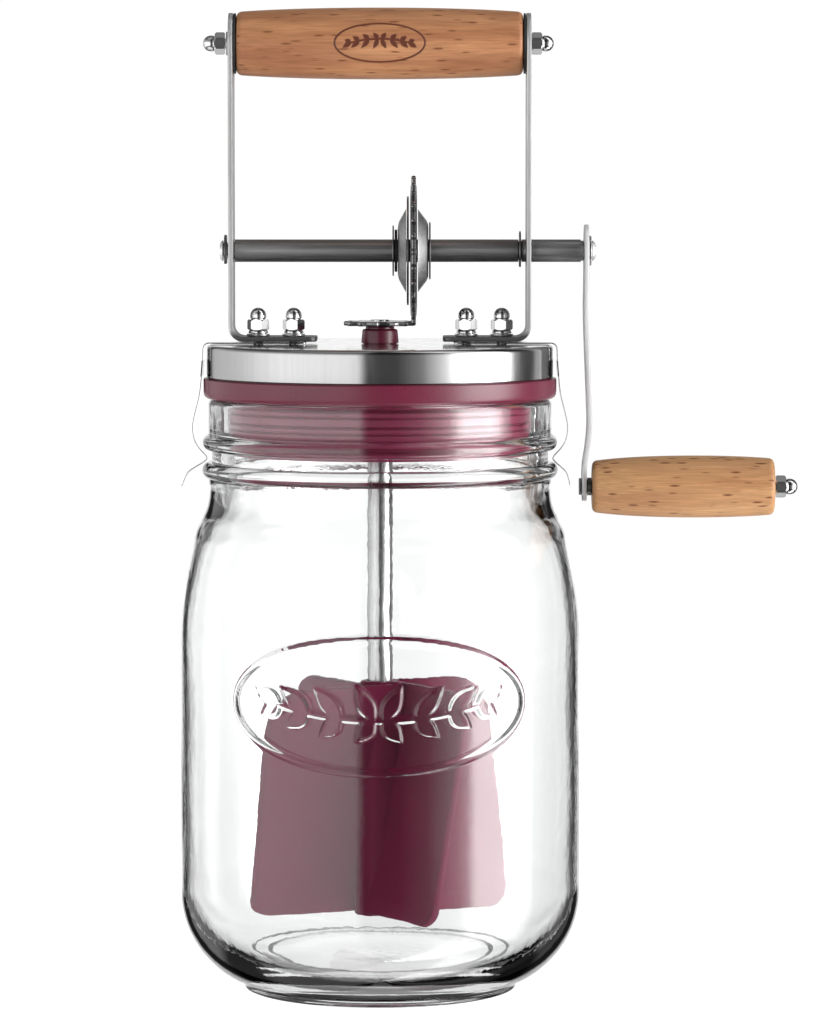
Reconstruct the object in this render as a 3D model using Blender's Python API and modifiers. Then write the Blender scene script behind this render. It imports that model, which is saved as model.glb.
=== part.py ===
"""Hand-cranked butter churn: a one-litre preserving jar, and a clip-on head that turns a paddle.

Sizes are in millimetres, and MM turns them into Blender's metres. The origin is on the jar's axis,
at the surface that the jar stands on. +Z is up, and the crank is at +X.
"""

import math

import bmesh
import bpy
from mathutils import Matrix, Vector

MM = 0.001

# The jar
JAR_RADIUS = 56.0
JAR_INSIDE = 53.4
NECK_RADIUS = 48.0
MOUTH_RADIUS = 42.9
RIM_Z = 165.2
BODY_TOP_Z = 95.0
FLOOR_Z = 6.4
BASE_PANEL_Z = 0.8
FOOT_RADIUS = 38.2
CORNER = 27.0
SHOULDER_R, SHOULDER_Z = 51.6, 128.0
UPPER_BEAD = (47.45, 153.4, 2.2)
LOWER_BEAD = (47.5, 145.6, 2.3)
JAR_STEPS = 32

# The lid
LID_TOP_Z = 180.8
CAP_RADIUS = 48.4
CAP_WALL = 0.6
CAP_BOTTOM_Z = 171.6
CAP_HOLE = 5.0
FLANGE_RADIUS = 49.3
FLANGE_TOP_Z = 171.3
FLANGE_BOTTOM_Z = 165.5
PLUG_RADIUS = 42.0
PLUG_WALL = 2.6
PLUG_BOTTOM_Z = 150.2
WEB_BOTTOM_Z = 168.6
UPPER_WALL = 2.2
RIB_HEIGHT = 0.5
RIB_COUNT = 3
RIB_PITCH = 4.4
FIRST_RIB_DROP = 2.6

# The gear pair: two flat wheels at right angles, whose teeth pass between each other
GEAR_TEETH = 28
PINION_TEETH = 13
PINION_MESH_RADIUS = 9.4
GEAR_MESH_RADIUS = PINION_MESH_RADIUS * GEAR_TEETH / PINION_TEETH
TOOTH_THICKNESS = 1.3
GEAR_BODY_THICKNESS = 1.9
PINION_Z = 186.5
AXLE_Z = PINION_Z + GEAR_MESH_RADIUS
GEAR_X = PINION_MESH_RADIUS
GEAR_RADIUS = GEAR_MESH_RADIUS + TOOTH_THICKNESS / 2
PINION_RADIUS = PINION_MESH_RADIUS + 0.7
TOOTH_HEIGHT = 1.9
GEAR_TOOTH = (1.2, 1.9)
PINION_TOOTH = (1.5, 2.2)

# The axle
AXLE_RADIUS = 3.15
JOURNAL_RADIUS = 2.4
GROOVE_RADIUS = 2.1
CRANK_SEAT_RADIUS = 2.3
RIVET_RADIUS = 2.6
AXLE_END_RADIUS = 2.85
RIGHT_CLIP_X = 39.05
SMALL_STEPS = 12
ROUND_STEPS = 20

# The brackets and the grip
BRACKET_X = 42.05
SHEET = 1.3
BRACKET_WIDTH = 17.0
BRACKET_BEND = 4.2
BRACKET_TOP_RADIUS = 8.5
GRIP_Z = 264.3
FOOT_Z = 181.6
FOOT_LENGTH = 24.5
BOLT_X = (24.1, 34.0)
GRIP_HALF = 39.85
GRIP_RADIUS = 9.95
GRIP_END_RADIUS = 8.9
SCREW_RADIUS = 1.3
SCREW_HOLE = 1.65

# Acorn nuts
NUT_FLATS = 5.4
NUT_HEX_HEIGHT = 2.9
NUT_CORE_RADIUS = 2.2
NUT_COLLAR = 1.0
NUT_DOME_HEIGHT = 3.3

# The crank
ARM_X = 57.6
ARM_TOP_RADIUS = 7.3
ARM_END_RADIUS = 4.0
KNOB_Z = 140.8
KNOB_ARM_X = 57.15
KNOB_LEFT = 59.3
KNOB_LENGTH = 51.0
KNOB_BOLT_RADIUS = 1.9
KNOB_BORE = 2.5

# The spring clips that hook under the jar's upper bead
CLIP_WIDTH = 13.0
CLIP_SHEET = 0.4
CLIP_Z = 181.2
CLIP_HINGE_X = 46.9
CLIP_INNER_X = 20.5
CLIP_REACH = {-1: 55.3, 1: 53.1}

# The paddle
SHAFT_RADIUS = 3.5
SHAFT_BORE = 3.6
SHAFT_SEAT_RADIUS = 2.6
SHAFT_GROOVE_RADIUS = 2.8
SHAFT_CLIP_Z = 166.1
BUSH_NECK = 4.7
PADDLE_BOTTOM_Z = 20.0
PADDLE_TOP_Z = 86.4
PADDLE_RADIUS = 38.6
PADDLE_HUB_RADIUS = 7.0
PADDLE_BORE_BOTTOM = 3.7
BLADE_THICKNESS = 2.6
BLADE_PITCH = math.radians(-10.5)
BLADE_MID_Z = 50.0
BLADE_COUNT = 4
BLADE_START = math.radians(-60.0)

# Frames for flat outlines and turned shapes: columns are where local X, Y and Z point
FLAT = Matrix.Identity(3)
FACING_X = Matrix(((0, 0, 1), (1, 0, 0), (0, 1, 0)))
FACING_Y = Matrix(((1, 0, 0), (0, 0, -1), (0, 1, 0)))


def clear_scene():
    for obj in list(bpy.data.objects):
        bpy.data.objects.remove(obj, do_unlink=True)


def new_collection(name):
    collection = bpy.data.collections.new(name)
    bpy.context.scene.collection.children.link(collection)
    return collection


def make_material(name, colour, roughness, metallic=0.0, transmission=0.0):
    material = bpy.data.materials.new(name)
    material.use_nodes = True
    shader = material.node_tree.nodes["Principled BSDF"]
    shader.inputs["Base Color"].default_value = (*colour, 1.0)
    shader.inputs["Roughness"].default_value = roughness
    shader.inputs["Metallic"].default_value = metallic
    shader.inputs["Transmission Weight"].default_value = transmission
    return material


clear_scene()
PARTS = new_collection("butter_churn")
CUTTERS = new_collection("cutters")
GLASS = make_material("clear_glass", (0.95, 0.97, 0.97), 0.02, transmission=1.0)
STEEL = make_material("stainless_steel", (0.72, 0.72, 0.72), 0.28, 1.0)
DARK_STEEL = make_material("dark_steel", (0.2, 0.19, 0.2), 0.35, 1.0)
BRIGHT_STEEL = make_material("bright_steel", (0.8, 0.8, 0.8), 0.12, 1.0)
PLUM = make_material("plum_plastic", (0.3, 0.035, 0.085), 0.3)
BLACK = make_material("black_plastic", (0.03, 0.03, 0.03), 0.5)
BEECH = make_material("beech_wood", (0.6, 0.35, 0.19), 0.45)


# Outlines


def polar(radius, angle_deg):
    angle = math.radians(angle_deg)
    return (radius * math.cos(angle), radius * math.sin(angle))


def arc(centre_u, centre_v, radius, start_deg, end_deg, count):
    """Points along an arc, both ends included."""
    points = []
    for i in range(count):
        u, v = polar(radius, start_deg + (end_deg - start_deg) * i / (count - 1))
        points.append((centre_u + u, centre_v + v))
    return points


def bezier(start, lead, follow, end, count):
    """Points along a cubic curve, without its first point."""
    points = []
    for i in range(1, count + 1):
        t = i / count
        weights = ((1 - t) ** 3, 3 * t * (1 - t) ** 2, 3 * t * t * (1 - t), t**3)
        ends = (start, lead, follow, end)
        points.append(tuple(sum(w * p[k] for w, p in zip(weights, ends)) for k in (0, 1)))
    return points


def circle(radius, count, centre=(0.0, 0.0)):
    return arc(*centre, radius, 0, 360 - 360 / count, count)


def smooth_path(points, count):
    """A Catmull-Rom curve through the points, with count steps between each two."""
    ends = [points[0], *points, points[-1]]
    path = [points[0]]
    for a, b, c, d in zip(ends, ends[1:], ends[2:], ends[3:]):
        lead = tuple(b[k] + (c[k] - a[k]) / 6 for k in (0, 1))
        follow = tuple(c[k] - (d[k] - b[k]) / 6 for k in (0, 1))
        path += bezier(b, lead, follow, c, count)
    return path


def strip_outline(path, thickness):
    """The closed outline of a bent strip seen on edge, from its centre line."""
    sides = ([], [])
    for i, point in enumerate(path):
        before = Vector(path[max(i - 1, 0)])
        after = Vector(path[min(i + 1, len(path) - 1)])
        along = (after - before).normalized()
        normal = Vector((-along.y, along.x)) * thickness / 2
        sides[0].append(tuple(Vector(point) + normal))
        sides[1].append(tuple(Vector(point) - normal))
    return sides[0] + sides[1][::-1]


def rounded_bar(top_radius, top_v, end_radius, end_v, count=9):
    """The outline round two circles on one upright line, with straight sides between them."""
    lean = math.degrees(math.asin((top_radius - end_radius) / (top_v - end_v)))
    top = arc(0, top_v, top_radius, -lean, 180 + lean, count)
    end = arc(0, end_v, end_radius, 180 + lean, 360 - lean, count)
    return top + end


def gear_outline(teeth, tip_radius, height, widths, first_tooth_deg):
    """Straight-sided teeth, widths being each tooth's at its tip and at its root."""
    tip_half = math.degrees(widths[0] / 2 / tip_radius)
    root_radius = tip_radius - height
    root_half = math.degrees(widths[1] / 2 / root_radius)
    points = []
    for i in range(teeth):
        middle = first_tooth_deg + 360 * i / teeth
        points.append(polar(root_radius, middle - root_half))
        points.append(polar(tip_radius, middle - tip_half))
        points.append(polar(tip_radius, middle + tip_half))
        points.append(polar(root_radius, middle + root_half))
    return points


def c_ring_outline(outer, inner, mouth_deg):
    """A retaining clip: a flat ring with its mouth at the bottom."""
    half = mouth_deg / 2
    outside = arc(0, 0, outer, -90 + half, 270 - half, 17)
    inside = arc(0, 0, inner, 270 - half * 1.2, -90 + half * 1.2, 13)
    return outside + inside


# Solids


def finish_mesh(mesh, angle_deg=32.0):
    mesh.shade_smooth()
    mesh.set_sharp_from_angle(angle=math.radians(angle_deg))


def add_part(name, mesh, material, body, at, frame=FLAT):
    """One named piece at its world place, in a body's group."""
    obj = bpy.data.objects.new(name, mesh)
    PARTS.objects.link(obj)
    if not mesh.materials:
        mesh.materials.append(material)
    obj.rotation_euler = frame.to_euler()
    obj.location = (Vector(at) * MM) - body.location
    obj.parent = body
    return obj


def turned(name, profile, material, body, at=(0, 0, 0), frame=FLAT, steps=ROUND_STEPS, ring=False):
    """A profile of (radius, height) points turned about the frame's third axis. A ring closes on itself."""
    count = len(profile)
    edges = [(i, i + 1) for i in range(count - 1)]
    if ring:
        edges.append((count - 1, 0))
    mesh = bpy.data.meshes.new(name)
    mesh.from_pydata([(r * MM, 0.0, h * MM) for r, h in profile], edges, [])
    obj = add_part(name, mesh, material, body, at, frame)
    screw = obj.modifiers.new("turn", "SCREW")
    screw.steps = steps
    screw.render_steps = steps
    screw.use_merge_vertices = True
    screw.merge_threshold = 0.00001
    screw.use_smooth_shade = True
    return obj


def ring_profile(outer, inner, bottom, top):
    return [(outer, top), (outer, bottom), (inner, bottom), (inner, top)]


def rod_profile(steps):
    """A solid rod's profile from (radius, bottom, top) stretches listed from the top down."""
    points = [(0.0, steps[0][2])]
    for radius, bottom, top in steps:
        points += [(radius, top), (radius, bottom)]
    return [*points, (0.0, steps[-1][1])]


def plate_mesh(name, loops, thickness):
    """A flat outline, with any holes as further loops, thickened evenly about its plane."""
    curve = bpy.data.curves.new(name, "CURVE")
    curve.dimensions = "2D"
    curve.fill_mode = "BOTH"
    curve.extrude = thickness * MM / 2
    for loop in loops:
        spline = curve.splines.new("POLY")
        spline.points.add(len(loop) - 1)
        for point, (u, v) in zip(spline.points, loop):
            point.co = (u * MM, v * MM, 0.0, 1.0)
        spline.use_cyclic_u = True
    source = bpy.data.objects.new(name, curve)
    bpy.context.scene.collection.objects.link(source)
    graph = bpy.context.evaluated_depsgraph_get()
    mesh = bpy.data.meshes.new_from_object(source.evaluated_get(graph))
    bpy.data.objects.remove(source)
    bpy.data.curves.remove(curve)
    solid = bmesh.new()
    solid.from_mesh(mesh)
    bmesh.ops.remove_doubles(solid, verts=solid.verts, dist=1e-6)
    bmesh.ops.recalc_face_normals(solid, faces=solid.faces)
    solid.to_mesh(mesh)
    solid.free()
    finish_mesh(mesh)
    return mesh


def plate(name, loops, thickness, material, body, at, frame):
    return add_part(name, plate_mesh(name, loops, thickness), material, body, at, frame)


def prism_mesh(name, radius, depth, segments):
    solid = bmesh.new()
    bmesh.ops.create_cone(
        solid, cap_ends=True, segments=segments, radius1=radius * MM, radius2=radius * MM, depth=depth * MM
    )
    mesh = bpy.data.meshes.new(name)
    solid.to_mesh(mesh)
    solid.free()
    return mesh


def use_as_cutter(target, cutter, operation="DIFFERENCE"):
    """Cuts, joins or limits the target with another object, which is then only a helper."""
    if cutter.name in PARTS.objects:
        PARTS.objects.unlink(cutter)
    CUTTERS.objects.link(cutter)
    cutter.hide_render = True
    cutter.display_type = "WIRE"
    change = target.modifiers.new(cutter.name, "BOOLEAN")
    change.operation = operation
    change.object = cutter
    change.solver = "EXACT"


def drill(target, radius, at, frame, body, depth=20.0, segments=SMALL_STEPS):
    name = f"{target.name}_hole_{len(target.modifiers)}"
    cutter = add_part(name, prism_mesh(name, radius, depth, segments), STEEL, body, at, frame)
    use_as_cutter(target, cutter)


def baked_mesh(obj, name):
    """The object's mesh with its modifiers applied, in its own frame, and the object removed."""
    graph = bpy.context.evaluated_depsgraph_get()
    mesh = bpy.data.meshes.new_from_object(obj.evaluated_get(graph))
    mesh.name = name
    bpy.data.objects.remove(obj)
    finish_mesh(mesh)
    return mesh


def make_body(name, at=(0, 0, 0)):
    """An empty on the joint's axis, which carries one body's pieces."""
    empty = bpy.data.objects.new(name, None)
    empty.empty_display_size = 0.01
    empty.location = Vector(at) * MM
    PARTS.objects.link(empty)
    return empty


SIDES = ((-1, "left"), (1, "right"))
JAR_BODY = make_body("jar_group")
HEAD = make_body("head_group")
CRANK = make_body("crank_group", (0, 0, AXLE_Z))
KNOB = make_body("knob_group", (0, 0, KNOB_Z))
STIRRER = make_body("paddle_group")
CLIPS = {}
for clip_side, clip_word in SIDES:
    CLIPS[clip_side] = make_body(f"clip_{clip_word}_group", (clip_side * CLIP_HINGE_X, 0, CLIP_Z))


# The jar


def bead(values, start_deg, end_deg):
    radius, height, size = values
    return arc(radius, height, size, start_deg, end_deg, 6)


def make_jar():
    inside = [(0, FLOOR_Z)]
    inside += arc(JAR_INSIDE - 22, FLOOR_Z + 22, 22, -90, 0, 6)
    inside += bezier((JAR_INSIDE, BODY_TOP_Z), (JAR_INSIDE, 111), (51.0, 119.5), (49.1, 126), 4)
    inside += bezier((49.1, 126), (47.5, 131.4), (43.4, 133), (MOUTH_RADIUS, 141), 4)
    rim = [(MOUTH_RADIUS, RIM_Z - 1), (MOUTH_RADIUS + 1, RIM_Z), (NECK_RADIUS - 1, RIM_Z)]
    neck = [(NECK_RADIUS, RIM_Z - 1)]
    beads = bead(UPPER_BEAD, 65, -100) + bead(LOWER_BEAD, 100, -77)
    neck_root = (47.7, 140.0)
    shoulder_corner = (SHOULDER_R, SHOULDER_Z)
    shoulder = [neck_root]
    shoulder += bezier(neck_root, (47.9, 133.2), (50.6, 132.4), shoulder_corner, 4)
    shoulder += bezier(shoulder_corner, (53.2, 120.5), (JAR_RADIUS, 112), (JAR_RADIUS, BODY_TOP_Z), 5)
    corner = arc(JAR_RADIUS - CORNER, CORNER, CORNER, 0, -69, 6)
    foot = [(FOOT_RADIUS, 0.7), (FOOT_RADIUS - 0.8, 0), (33.0, 0), (31.5, BASE_PANEL_Z), (0, BASE_PANEL_Z)]
    profile = inside + rim + neck + beads + shoulder + corner + foot
    turned("jar", profile, GLASS, JAR_BODY, steps=JAR_STEPS)


# The lid, which the clips hold on the jar


def make_lid_cap():
    outer = [(CAP_HOLE, LID_TOP_Z)]
    outer += arc(CAP_RADIUS - 1.3, LID_TOP_Z - 1.3, 1.3, 90, 0, 4)
    outer += [(CAP_RADIUS, CAP_BOTTOM_Z), (CAP_RADIUS - CAP_WALL, CAP_BOTTOM_Z)]
    inner = [(CAP_RADIUS - CAP_WALL, LID_TOP_Z - 1.3), (CAP_RADIUS - 1.3, LID_TOP_Z - CAP_WALL)]
    profile = outer + inner + [(CAP_HOLE, LID_TOP_Z - CAP_WALL)]
    cap = turned("lid_cap", profile, STEEL, HEAD, steps=JAR_STEPS, ring=True)
    for x in BOLT_X:
        for side in (-1, 1):
            drill(cap, SCREW_HOLE, (side * x, 0, LID_TOP_Z), FLAT, HEAD, depth=6, segments=12)


def make_lid_insert():
    """The moulded seal: a flange on the rim, a ribbed plug in the mouth and a wall up inside the cap."""
    wall = CAP_RADIUS - CAP_WALL - 0.35
    wall_top = LID_TOP_Z - 2.2
    upper = [(wall, wall_top), (wall, FLANGE_TOP_Z)]
    flange = [(FLANGE_RADIUS, FLANGE_TOP_Z), (FLANGE_RADIUS, FLANGE_BOTTOM_Z + 2)]
    flange += arc(FLANGE_RADIUS - 1.6, FLANGE_BOTTOM_Z + 1.6, 1.6, 0, -90, 3)
    plug = [(PLUG_RADIUS, FLANGE_BOTTOM_Z)]
    for i in range(RIB_COUNT):
        z = FLANGE_BOTTOM_Z - FIRST_RIB_DROP - RIB_PITCH * i
        plug += [(PLUG_RADIUS, z + 0.9), (PLUG_RADIUS + RIB_HEIGHT, z), (PLUG_RADIUS, z - 0.9)]
    plug_inside = PLUG_RADIUS - PLUG_WALL
    plug += [(PLUG_RADIUS - 0.6, PLUG_BOTTOM_Z), (plug_inside, PLUG_BOTTOM_Z)]
    hole = CAP_HOLE + 0.1
    web = [(plug_inside, WEB_BOTTOM_Z), (hole, WEB_BOTTOM_Z), (hole, FLANGE_TOP_Z)]
    top = [(wall - UPPER_WALL, FLANGE_TOP_Z), (wall - UPPER_WALL, wall_top)]
    turned("lid_insert", upper + flange + plug + web + top, PLUM, HEAD, steps=JAR_STEPS, ring=True)


def make_shaft_bush():
    """The plastic bearing of the paddle's shaft, snapped through the cap and the insert."""
    lip_z = PINION_Z - TOOTH_THICKNESS / 2 - 0.25
    snap_z = WEB_BOTTOM_Z - 0.25
    end_z = WEB_BOTTOM_Z - 1.5
    lip = [(4.0, lip_z), (4.0, 185.0)]
    collar = [(4.9, 184.8), (5.25, LID_TOP_Z + 0.25), (BUSH_NECK, LID_TOP_Z + 0.2)]
    snap = [(BUSH_NECK, snap_z), (5.5, snap_z - 0.05), (4.6, end_z)]
    bore = [(SHAFT_BORE, end_z), (SHAFT_BORE, lip_z)]
    turned("shaft_bush", lip + collar + snap + bore, PLUM, HEAD, ring=True)


# Fasteners


def nut_mesh(collar, name):
    """An acorn nut standing on z = 0, with a blind hole for its screw."""
    height = collar + NUT_HEX_HEIGHT + NUT_DOME_HEIGHT
    hex_corner = NUT_FLATS / 2 / math.cos(math.radians(30))
    mesh = prism_mesh(name, hex_corner, NUT_HEX_HEIGHT, 6)
    mesh.transform(Matrix.Translation((0, 0, (collar + NUT_HEX_HEIGHT / 2) * MM)))
    nut = add_part(name, mesh, BRIGHT_STEEL, HEAD, (0, 0, 0))
    dome = arc(0, height - NUT_CORE_RADIUS, NUT_CORE_RADIUS, 90, 0, 4)
    profile = [*dome, (NUT_CORE_RADIUS, 0), (0, 0)]
    core = turned(f"{name}_core", profile, BRIGHT_STEEL, HEAD, steps=SMALL_STEPS)
    bore = add_part(f"{name}_bore", prism_mesh(name, SCREW_HOLE, 10, 12), BRIGHT_STEEL, HEAD, (0, 0, 0))
    use_as_cutter(nut, core, "UNION")
    use_as_cutter(nut, bore)
    mesh = baked_mesh(nut, name)
    for helper in (core, bore):
        bpy.data.objects.remove(helper)
    return mesh


def make_foot_fasteners(collared_nut):
    """At each of the four bolts: a screw from inside the cap, a washer on the bracket and an acorn nut."""
    under_cap = LID_TOP_Z - CAP_WALL - 0.2
    foot_top = FOOT_Z + SHEET
    screw = rod_profile([(SCREW_RADIUS, under_cap, foot_top + 5.2), (2.7, under_cap - 1.8, under_cap)])
    for side, word in SIDES:
        for x, place in zip(BOLT_X, ("inner", "outer")):
            at = (side * x, 0, 0)
            turned(f"foot_screw_{word}_{place}", screw, STEEL, HEAD, at, steps=12)
            washer = ring_profile(3.2, SCREW_HOLE, foot_top + 0.15, foot_top + 0.65)
            turned(f"foot_washer_{word}_{place}", washer, STEEL, HEAD, at, steps=SMALL_STEPS, ring=True)
            nut_at = (side * x, 0, foot_top + 0.8)
            add_part(f"foot_nut_{word}_{place}", collared_nut, BRIGHT_STEEL, HEAD, nut_at)


# The brackets and the grip between them


def bracket_path(side):
    """The centre line of an L-shaped strip, from the inner end of its foot to its top."""
    x = BRACKET_X - SHEET / 2
    z = FOOT_Z + SHEET / 2
    bend = BRACKET_BEND - SHEET / 2
    path = [(BRACKET_X - FOOT_LENGTH, z), *arc(x - bend, z + bend, bend, -90, 0, 6)]
    path.append((x, GRIP_Z + BRACKET_TOP_RADIUS + 2))
    return [(side * u, v) for u, v in path]


def make_bracket(side, word):
    outline = strip_outline(bracket_path(side), SHEET)
    bracket = plate(f"bracket_{word}", [outline], BRACKET_WIDTH, STEEL, HEAD, (0, 0, 0), FACING_Y)
    limit = rounded_bar(BRACKET_TOP_RADIUS, GRIP_Z, BRACKET_TOP_RADIUS, 150)
    rounding = plate(f"bracket_{word}_limit", [limit], 60, STEEL, HEAD, (side * 30, 0, 0), FACING_X)
    use_as_cutter(bracket, rounding, "INTERSECT")
    x = side * (BRACKET_X - SHEET / 2)
    axle_hole = JOURNAL_RADIUS + 0.1 if side < 0 else AXLE_RADIUS + 0.1
    drill(bracket, axle_hole, (x, 0, AXLE_Z), FACING_X, HEAD, segments=ROUND_STEPS)
    drill(bracket, SCREW_HOLE, (x, 0, GRIP_Z), FACING_X, HEAD, segments=12)
    for hole_x in BOLT_X:
        drill(bracket, SCREW_HOLE, (side * hole_x, 0, FOOT_Z), FLAT, HEAD, depth=6, segments=12)


def handle_profile(length, left_radius, middle_radius, right_radius, bore):
    """A turned wooden handle with a bore, swelling to its middle; heights run from its left end."""
    corner = 1.4
    right = [(bore, length), *arc(right_radius - corner, length - corner, corner, 90, 0, 3)]
    lead, follow = (middle_radius, length * 0.72), (middle_radius, length * 0.28)
    swell = bezier(right[-1], lead, follow, (left_radius, corner), 6)
    left = arc(left_radius - corner, corner, corner, 0, -90, 3)[1:]
    return right + swell + left + [(bore, 0)]


def make_grip(plain_nut):
    at = (-GRIP_HALF, 0, GRIP_Z)
    swell = GRIP_RADIUS + 0.35
    profile = handle_profile(2 * GRIP_HALF, GRIP_END_RADIUS, swell, GRIP_END_RADIUS, SCREW_HOLE + 0.2)
    turned("grip", profile, BEECH, HEAD, at, FACING_X, ring=True)
    disc = ring_profile(8.4, SCREW_HOLE, GRIP_HALF + 0.15, BRACKET_X - SHEET - 0.15)
    for side, word in SIDES:
        points = [(r, side * h) for r, h in disc]
        turned(f"grip_end_disc_{word}", points[::side], BLACK, HEAD, (0, 0, GRIP_Z), FACING_X, ring=True)
    washer = ring_profile(3.3, SCREW_HOLE, -BRACKET_X - 0.7, -BRACKET_X - 0.15)
    turned("grip_washer", washer, STEEL, HEAD, (0, 0, GRIP_Z), FACING_X, steps=SMALL_STEPS, ring=True)
    rod = rod_profile([(SCREW_RADIUS, -BRACKET_X - 4.6, BRACKET_X + 4.0)])
    turned("grip_rod", rod, STEEL, HEAD, (0, 0, GRIP_Z), FACING_X, steps=12)
    outward = Matrix.Rotation(math.pi, 3, "Y") @ FACING_X
    add_part("grip_nut_left", plain_nut, BRIGHT_STEEL, HEAD, (-BRACKET_X - 0.95, 0, GRIP_Z), outward)
    add_part("grip_nut_right", plain_nut, BRIGHT_STEEL, HEAD, (BRACKET_X + 0.2, 0, GRIP_Z), FACING_X)


# The crank: axle, gear, arm and knob


def make_axle():
    """Right to left: riveted end, arm's seat, running length with a clip groove, journal, end groove."""
    arm_left = ARM_X - SHEET / 2 - 0.15
    arm_right = ARM_X + SHEET / 2 + 0.9
    groove_left, groove_right = RIGHT_CLIP_X - 0.45, RIGHT_CLIP_X + 0.45
    journal_right = -(BRACKET_X - SHEET - 0.3)
    end_groove_right = -(BRACKET_X + 0.4)
    end_groove_left = end_groove_right - 1.2
    stretches = [
        (RIVET_RADIUS, arm_right, arm_right + 1.1),
        (CRANK_SEAT_RADIUS, arm_left, arm_right),
        (AXLE_RADIUS - 0.35, arm_left - 0.75, arm_left),
        (AXLE_RADIUS, groove_right, arm_left - 0.75),
        (AXLE_RADIUS - 0.5, groove_left, groove_right),
        (AXLE_RADIUS, journal_right, groove_left),
        (JOURNAL_RADIUS, end_groove_right, journal_right),
        (GROOVE_RADIUS, end_groove_left, end_groove_right),
        (AXLE_END_RADIUS, end_groove_left - 1.0, end_groove_left),
    ]
    turned("axle", rod_profile(stretches), DARK_STEEL, CRANK, (0, 0, AXLE_Z), FACING_X, steps=ROUND_STEPS)


def make_drive_gear():
    first_tooth_down = -90
    outline = gear_outline(GEAR_TEETH, GEAR_RADIUS, TOOTH_HEIGHT, GEAR_TOOTH, first_tooth_down)
    hole = circle(AXLE_RADIUS + 0.15, ROUND_STEPS)
    at = (GEAR_X, 0, AXLE_Z)
    gear = plate("drive_gear", [outline, hole], GEAR_BODY_THICKNESS, STEEL, CRANK, at, FACING_X)
    slope_start = GEAR_RADIUS - TOOTH_HEIGHT - 0.4
    half, tip_half, out = GEAR_BODY_THICKNESS / 2 + 0.05, TOOTH_THICKNESS / 2, GEAR_RADIUS + 0.3
    lens = [(0, half), (slope_start, half), (GEAR_RADIUS - 0.3, tip_half), (out, tip_half)]
    lens += [(r, -h) for r, h in reversed(lens)]
    chamfer = turned("drive_gear_chamfer", lens, STEEL, CRANK, at, FACING_X, steps=GEAR_TEETH)
    use_as_cutter(gear, chamfer, "INTERSECT")


def make_gear_hub():
    """The sheet-metal cups, disc, spacer and push-on washers that hold the gear on the axle."""
    bore = AXLE_RADIUS + 0.15
    right_cup = cup_profile(7.8, 11.6, bore, -13.5, -10.6)
    pieces = (
        ("gear_washer_left", ring_profile(7.1, bore, 3.5, 3.9), STEEL),
        ("gear_spacer", ring_profile(5.9, bore, 4.1, 4.85), BLACK),
        ("gear_cup_left", cup_profile(7.6, 11.7, bore, 5.0, 7.3), STEEL),
        ("gear_disc", ring_profile(15.2, bore, 7.5, 8.05), STEEL),
        ("gear_cup_right", [(r, -h) for r, h in reversed(right_cup)], STEEL),
        ("gear_washer_right", ring_profile(8.0, bore, 13.7, 14.15), STEEL),
    )
    for name, profile, material in pieces:
        turned(name, profile, material, CRANK, (0, 0, AXLE_Z), FACING_X, ring=True)


def cup_profile(small, large, bore, bottom, top, wall=0.6):
    """A dished cup: a flat ring at the bottom and a cone that opens towards the top."""
    cone = [(large, top), (small, bottom), (bore, bottom), (bore, bottom + wall)]
    return [*cone, (small - 0.35, bottom + wall), (large - wall * 1.5, top)]


def make_axle_clips():
    left_at = (-BRACKET_X - 1.0, 0, AXLE_Z)
    right_at = (RIGHT_CLIP_X, 0, AXLE_Z)
    left = c_ring_outline(4.45, GROOVE_RADIUS + 0.1, 70)
    right = c_ring_outline(5.45, AXLE_RADIUS - 0.4, 70)
    plate("axle_clip_left", [left], 0.7, BRIGHT_STEEL, CRANK, left_at, FACING_X)
    plate("axle_clip_right", [right], 0.5, BRIGHT_STEEL, CRANK, right_at, FACING_X)


def make_crank_arm():
    """A flat strip, bowed a little outwards and tapering to the knob."""
    joggle = [(58.3, 166), (58.5, 158), (57.9, 151.5), (KNOB_ARM_X, 146)]
    points = [(ARM_X, 218), (ARM_X, 200), (57.5, 188), *joggle, (KNOB_ARM_X, 133)]
    outline = strip_outline(smooth_path(points, 3), SHEET)
    arm = plate("crank_arm", [outline], 18, STEEL, CRANK, (0, 0, 0), FACING_Y)
    bar = rounded_bar(ARM_TOP_RADIUS, AXLE_Z, ARM_END_RADIUS, KNOB_Z)
    limit = plate("crank_arm_limit", [bar], 20, STEEL, CRANK, (ARM_X, 0, 0), FACING_X)
    use_as_cutter(arm, limit, "INTERSECT")
    drill(arm, CRANK_SEAT_RADIUS + 0.15, (ARM_X, 0, AXLE_Z), FACING_X, CRANK, segments=ROUND_STEPS)
    drill(arm, KNOB_BOLT_RADIUS + 0.15, (KNOB_ARM_X, 0, KNOB_Z), FACING_X, CRANK)
    washer = ring_profile(4.2, CRANK_SEAT_RADIUS + 0.15, ARM_X + SHEET / 2 + 0.2, ARM_X + SHEET / 2 + 0.7)
    turned("crank_washer", washer, STEEL, CRANK, (0, 0, AXLE_Z), FACING_X, steps=SMALL_STEPS, ring=True)


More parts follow.
